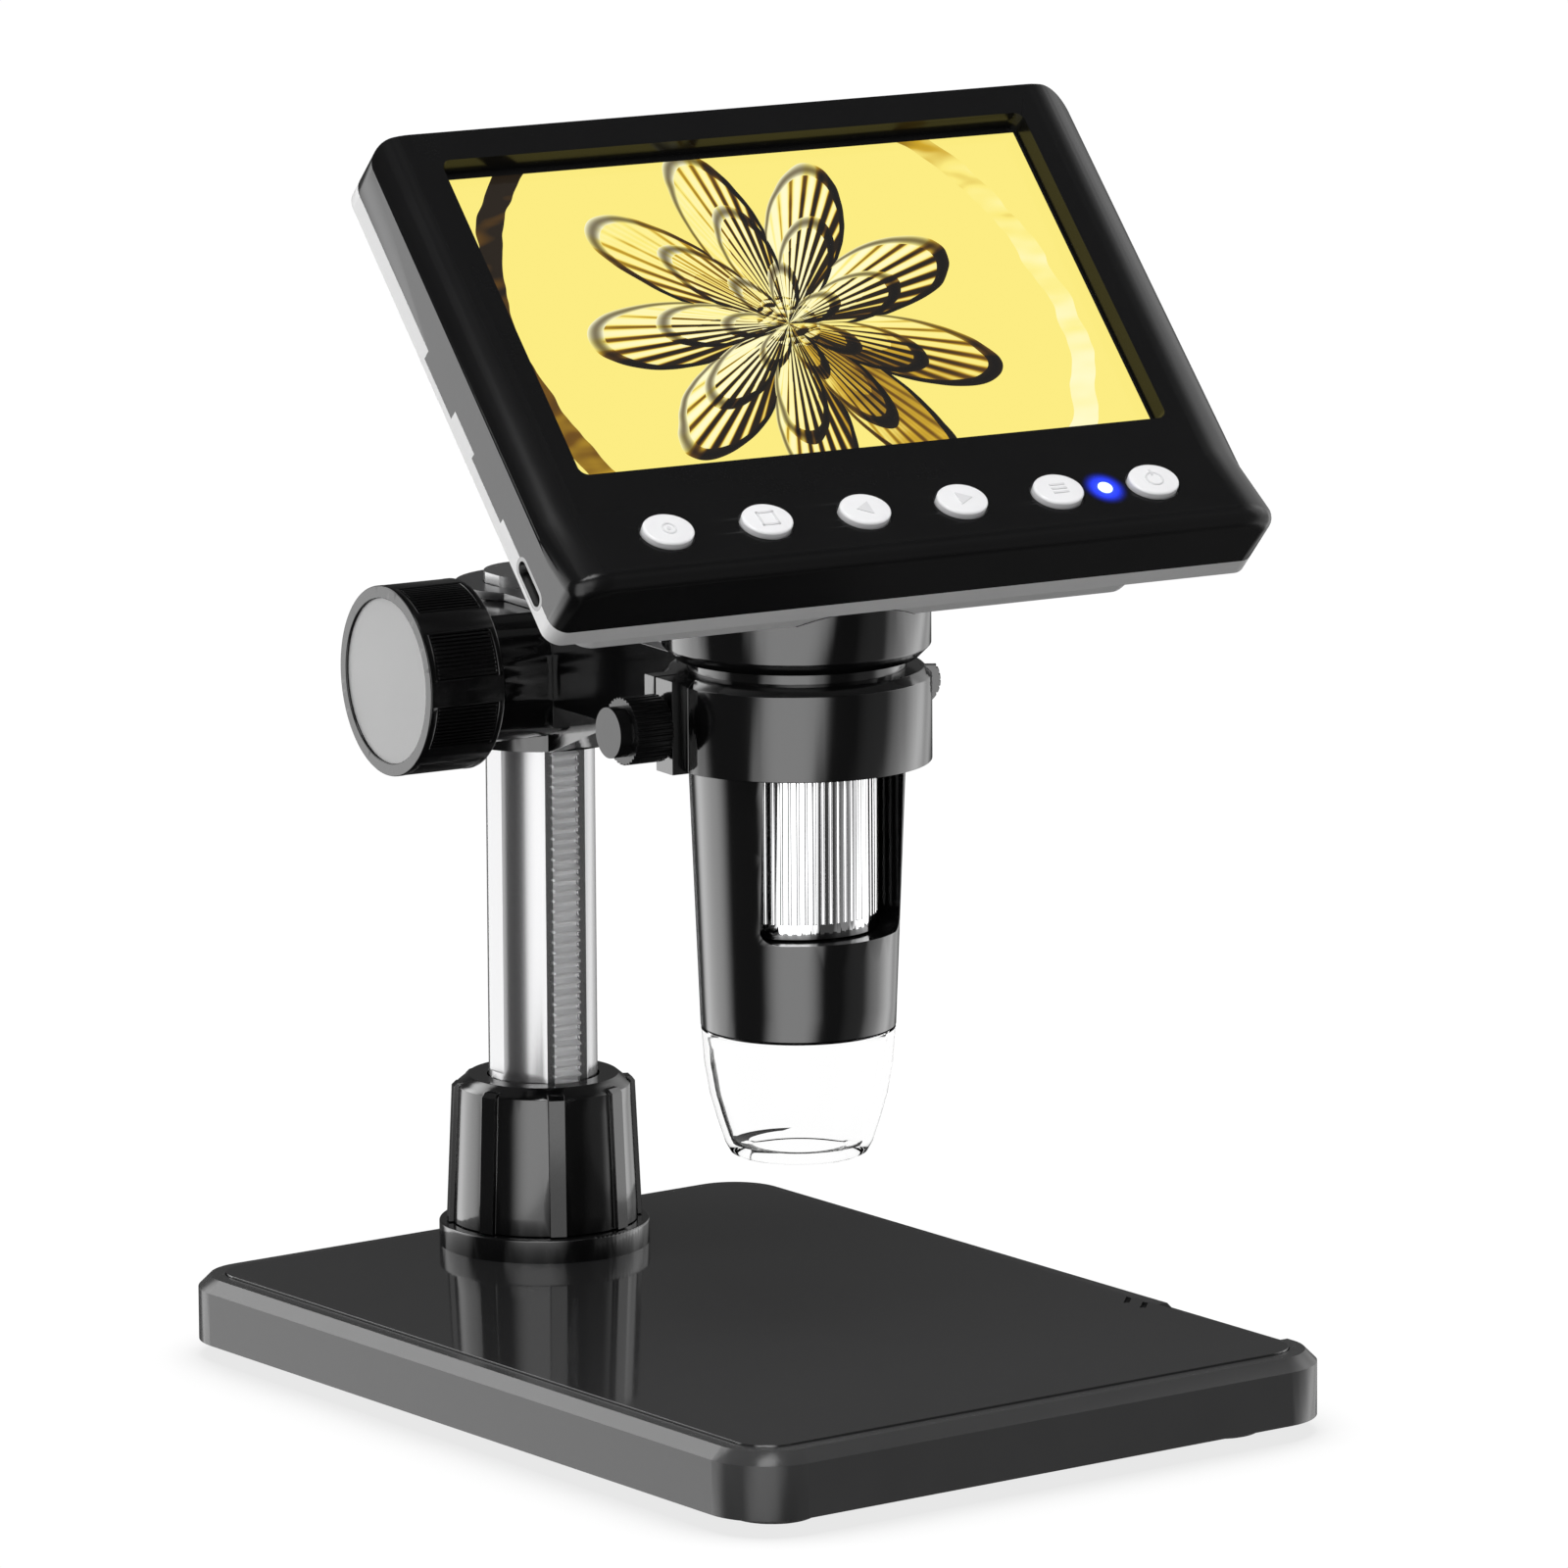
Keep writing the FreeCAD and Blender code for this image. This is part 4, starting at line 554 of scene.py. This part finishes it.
        nodes.link(spot, beads.inputs["Vector"])
        core = nodes.math("LESS_THAN", radius, self.core)
        dots = nodes.math("MULTIPLY", core, nodes.math("SUBTRACT", 1.0, beads.outputs["Distance"]))
        rim = nodes.math("MULTIPLY", nodes.math("SUBTRACT", radius, self.rim), 14.0, True)
        return outline, nodes.math("ADD", nodes.math("ADD", relief, dots), rim)


@dataclass
class ButtonMarks:
    """Small raised marks on the six caps."""

    height: float = 0.12
    line: float = 0.34
    size: float = 1.25

    def build(self) -> None:
        """Make a mark on each cap."""
        gray = Finish("mark_gray", (0.64, 0.64, 0.65), roughness=0.45).build()
        for i, icon in enumerate(Icon):
            place = Places.chin() @ Matrix.Translation(((i - 2.5) * BUTTON_PITCH, BUTTON_V, BUTTON_TOP))
            obj = self.shape(icon, place)
            Shop.finish(obj, gray, "button_white", icon.value + "_body")
        LOG.info("built marks on %d buttons", len(Icon))

    def shape(self, icon: Icon, place: Matrix) -> bpy.types.Object:
        """One mark as a joined mesh."""
        name = icon.value + "_mark"
        up = self.height / 2
        if icon is Icon.RING:
            parts = [Shop.ring(name, place, (0, 0, 0), self.size * 0.8, self.line / 2),
                     Shop.prism(name, place, (0, 0, up / 2), self.line, self.height, 24)]
        elif icon is Icon.SQUARE:
            parts = [Shop.box(name, place, (dx * self.size, dy * self.size, 0),
                              (self.line if dx else 2 * self.size + self.line,
                               2 * self.size + self.line if dx else self.line, self.height * 2))
                     for dx, dy in ((-1, 0), (1, 0), (0, -1), (0, 1))]
        elif icon in (Icon.LEFT, Icon.RIGHT):
            turn = math.pi / 2 if icon is Icon.LEFT else -math.pi / 2
            parts = [Shop.prism(name, place, (0, 0, 0), self.size * 1.2, self.height * 2, 3, turn)]
        elif icon is Icon.BARS:
            parts = [Shop.box(name, place, (0, dy, 0), (2 * self.size, self.line, self.height * 2))
                     for dy in (-0.8, 0, 0.8)]
        else:
            parts = [Shop.ring(name, place, (0, 0, 0), self.size, self.line / 2),
                     Shop.box(name, place, (0, self.size, 0), (self.line, self.size, self.height * 2.4))]
        return Shop.join(name, parts)


@dataclass
class LampGlow:
    """Painted blue light on the chin round the status lamp."""

    u: float = 31.7
    reach: float = 3.9
    thick: float = 0.03
    lift: float = 0.04
    lamp_radius: float = 0.6

    def build(self) -> None:
        """Make a thin clear disc that glows near the lamp, as painted light from the lamp on the chin."""
        place = Places.chin() @ Matrix.Translation((self.u, BUTTON_V, self.lift))
        obj = Shop.prism("lamp_glow", place, (0, 0, 0), self.reach, self.thick, 64)
        mat = bpy.data.materials.new("lamp_glow")
        mat.use_nodes = True
        nodes = Nodes(mat.node_tree)
        sight = nodes.add("ShaderNodeTexCoord").outputs["Object"]
        gap = nodes.add("ShaderNodeVectorMath")
        gap.operation = "DISTANCE"
        nodes.link(sight, gap.inputs[0])
        gap.inputs[1].default_value = place.translation
        # Painted light: the disc's glow fades from the lamp's edge outwards over the chin.
        fade = nodes.span(gap.outputs["Value"], self.lamp_radius * MM, self.reach * MM, 1.0, 0.0)
        bsdf = mat.node_tree.nodes["Principled BSDF"]
        bsdf.inputs["Base Color"].default_value = (0, 0, 0, 1)
        bsdf.inputs["Emission Color"].default_value = (0.02, 0.05, 1.0, 1)
        bsdf.inputs["Emission Strength"].default_value = 1.6
        nodes.link(nodes.math("POWER", fade, 2.0), bsdf.inputs["Alpha"])
        Shop.finish(obj, mat, "lamp_blue", "head_body")
        LOG.info("built %s", obj.name)


@dataclass
class KnobRibs:
    """Fine ribs in the knob's eight fields."""

    book: FinishBook
    fields: int = 8
    land: float = math.radians(17.0)
    per_field: int = 11
    depth: float = 0.45
    rib: float = 0.42
    proud: float = 0.1
    start: float = 1.1
    margin: float = 2.6
    share: float = 0.55
    edge: float = 0.06

    def build(self) -> None:
        """Make the ribs as one piece."""
        place = Places.knob()
        parts = []
        span = 2 * math.pi / self.fields - self.land
        length = KNOB_LENGTH - self.margin
        centre = (KNOB_RADIUS - self.depth + self.proud, 0, self.start + length / 2)
        size = (self.rib, span * KNOB_RADIUS / self.per_field * self.share, length)
        for i in range(self.fields):
            for j in range(self.per_field):
                turn = 2 * math.pi * i / self.fields + self.land / 2 + span * (j + 0.5) / self.per_field
                spot = place @ Matrix.Rotation(turn, 4, "Z")
                parts.append(Shop.box("knob_ribs", spot, centre, size))
        obj = Shop.join("knob_ribs", parts)
        Shop.finish(obj, self.book.get("knob_black"), "satin_black", "drive_body", self.edge)
        LOG.info("built %s", obj.name)


@dataclass(frozen=True)
class SoftBox:
    """Tall soft box of the surroundings, in degrees to the camera's right of its own side."""

    azimuth: float
    inner: float
    outer: float
    strength: float


@dataclass(frozen=True)
class RoundBox:
    """Round soft box at a height, in degrees like the tall ones and above the horizon."""

    azimuth: float
    elevation: float
    inner: float
    outer: float
    strength: float


@dataclass
class Studio:
    """Pale floor, white surroundings, soft lamps and the camera."""

    lens: float = 265.5
    place: tuple[float, float, float] = (-0.96537, -1.3294, 0.4075)
    yaw: float = math.radians(36.374)
    pitch: float = math.radians(10.894)
    roll: float = math.radians(-0.316)
    ambient: float = 0.35
    bounce: float = 0.35
    dark: float = 0.10
    zenith: float = 0.05
    fade: tuple[float, float] = (0.50, 0.80)
    floor_size: float = 12.0
    shade_reach: float = 0.05
    boxes: tuple[SoftBox, ...] = (
        SoftBox(-6, 8, 38, 5.4), SoftBox(-112, 12, 34, 4.2), SoftBox(112, 8, 32, 2.5),
        SoftBox(135, 5, 34, 1.2), SoftBox(75, 5, 25, 0.3))
    rounds: tuple[RoundBox, ...] = (RoundBox(5, 70, 4, 15, 14.0), RoundBox(-130, 36, 6, 16, 4.0))

    def axes(self) -> tuple[Vector, Vector, Vector]:
        """Right, up and forward of the camera."""
        level = math.cos(self.pitch)
        forward = Vector((math.sin(self.yaw) * level, math.cos(self.yaw) * level, -math.sin(self.pitch)))
        right = Vector((math.cos(self.yaw), -math.sin(self.yaw), 0))
        up = right.cross(forward)
        turned = right * math.cos(self.roll) + up * math.sin(self.roll)
        return turned, up * math.cos(self.roll) - right * math.sin(self.roll), forward

    def camera(self) -> None:
        """Make the camera at the photograph's viewpoint."""
        right, up, forward = self.axes()
        data = bpy.data.cameras.new("camera")
        data.lens = self.lens
        data.sensor_width = 36.0
        data.clip_start = 0.05
        data.clip_end = 50.0
        obj = bpy.data.objects.new("camera", data)
        bpy.context.scene.collection.objects.link(obj)
        turn = Matrix((right, up, -forward)).transposed().to_4x4()
        obj.matrix_world = Matrix.Translation(self.place) @ turn
        bpy.context.scene.camera = obj

    def lamp(self, name: str, azimuth: float, elevation: float, distance: float, size: tuple[float, float],
             power: float) -> None:
        """Area lamp aimed at the object's middle.

        Args:
            name: The lamp's name.
            azimuth: Degrees to the camera's right from its own side.
            elevation: Degrees above the horizon.
            distance: Metres from the middle.
            size: Width and height in metres.
            power: Watts.
        """
        middle = Vector((0, 0, 0.1))
        back = self.toward(azimuth, elevation)
        data = bpy.data.lights.new(name, "AREA")
        data.shape = "RECTANGLE"
        data.size, data.size_y = size
        data.energy = power
        obj = bpy.data.objects.new(name, data)
        bpy.context.scene.collection.objects.link(obj)
        turned = back.to_track_quat("Z", "Y").to_matrix().to_4x4()
        obj.matrix_world = Matrix.Translation(middle + back * distance) @ turned
        obj.visible_glossy = False

    def toward(self, azimuth: float, elevation: float = 0.0) -> Vector:
        """Direction some degrees to the camera's right of its own side and above the horizon."""
        turn = math.radians(azimuth) - self.yaw
        rise = math.radians(elevation)
        return Vector((math.sin(turn) * math.cos(rise), -math.cos(turn) * math.cos(rise), math.sin(rise)))

    def soft_box(self, nodes: Nodes, sight: bpy.types.NodeSocket, toward: Vector, box: SoftBox | RoundBox
                 ) -> bpy.types.NodeSocket:
        """Strength of one soft box in a viewing direction.

        Args:
            nodes: Node maker of the world.
            sight: Viewing direction, with its height taken out for a tall box.
            toward: Direction of the box's middle.
            box: The soft box.

        Returns:
            The strength socket.
        """
        lean = nodes.vector("DOT_PRODUCT", sight, toward)
        return nodes.span(lean, math.cos(math.radians(box.outer)), math.cos(math.radians(box.inner)), 0.0,
                          box.strength)

    def world(self) -> None:
        """White where the camera looks, tall soft boxes in reflections and an even light for the rest."""
        world = bpy.data.worlds.new("surroundings")
        world.use_nodes = True
        bpy.context.scene.world = world
        nodes = Nodes(world.node_tree)
        path = nodes.add("ShaderNodeLightPath")
        sight = nodes.add("ShaderNodeTexCoord").outputs["Generated"]
        level = nodes.vector("NORMALIZE", nodes.vector("MULTIPLY", sight, Vector((1, 1, 0))))
        glow = nodes.math("ADD", 0.0, self.dark)
        for box in self.boxes:
            glow = nodes.math("ADD", glow, self.soft_box(nodes, level, self.toward(box.azimuth), box))
        height = nodes.add("ShaderNodeSeparateXYZ")
        nodes.link(sight, height.inputs[0])
        lift = nodes.math("ABSOLUTE", height.outputs["Z"])
        glow = nodes.math("MULTIPLY", glow, nodes.span(lift, *self.fade, 1.0, self.zenith))
        for box in self.rounds:
            toward = self.toward(box.azimuth, box.elevation)
            glow = nodes.math("ADD", glow, self.soft_box(nodes, sight, toward, box))
        strength = nodes.blend(path.outputs["Is Glossy Ray"], self.ambient, glow)
        seen = nodes.math("MAXIMUM", path.outputs["Is Camera Ray"], path.outputs["Is Transmission Ray"])
        strength = nodes.blend(seen, strength, 1.0)
        back = world.node_tree.nodes["Background"]
        back.inputs["Color"].default_value = WHITE
        nodes.link(strength, back.inputs["Strength"])

    def floor(self) -> None:
        """Large pale floor, a little darker round the base with painted shade, and left out of reflections.
        """
        Shop.clear()
        bpy.ops.mesh.primitive_plane_add(size=self.floor_size, location=(0, 0, 0))
        obj = bpy.context.object
        obj.name = "floor"
        mat = bpy.data.materials.new("floor_pale")
        mat.use_nodes = True
        nodes = Nodes(mat.node_tree)
        mat.node_tree.nodes.remove(mat.node_tree.nodes["Principled BSDF"])
        path = nodes.add("ShaderNodeLightPath")
        # Painted shade: ambient occlusion dims the floor's emission round the base, standing in for the
        # base's contact shadow and its reflection in the floor.
        shade = nodes.add("ShaderNodeAmbientOcclusion")
        shade.inputs["Distance"].default_value = self.shade_reach
        shown = nodes.emission(nodes.span(shade.outputs["AO"], 0.4, 0.95, 0.80, 1.02))
        lit = nodes.mix_shader(path.outputs["Is Camera Ray"], nodes.emission(self.bounce), shown)
        clear = nodes.add("ShaderNodeBsdfTransparent").outputs[0]
        surface = nodes.mix_shader(path.outputs["Is Glossy Ray"], lit, clear)
        nodes.link(surface, mat.node_tree.nodes["Material Output"].inputs["Surface"])
        obj.data.materials.append(mat)

    def build(self) -> None:
        """Set everything up."""
        self.floor()
        self.world()
        self.lamp("top_box", 10, 62, 1.3, (0.9, 0.9), 14)
        self.lamp("left_box", -75, 12, 1.2, (0.6, 0.9), 7.5)
        self.camera()
        bpy.context.scene.view_settings.view_transform = "Standard"
        LOG.info("built the studio")


def main() -> None:
    """Build the pieces in order."""
    logging.basicConfig(level=logging.INFO)
    bpy.ops.object.select_all(action="SELECT")
    bpy.ops.object.delete()
    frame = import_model()
    book = FinishBook()
    FrameDress(book).dress(frame)
    ScreenPicture().build()
    ButtonMarks().build()
    LampGlow().build()
    KnobRibs(book).build()
    Studio().build()


if __name__ == "__main__":
    main()
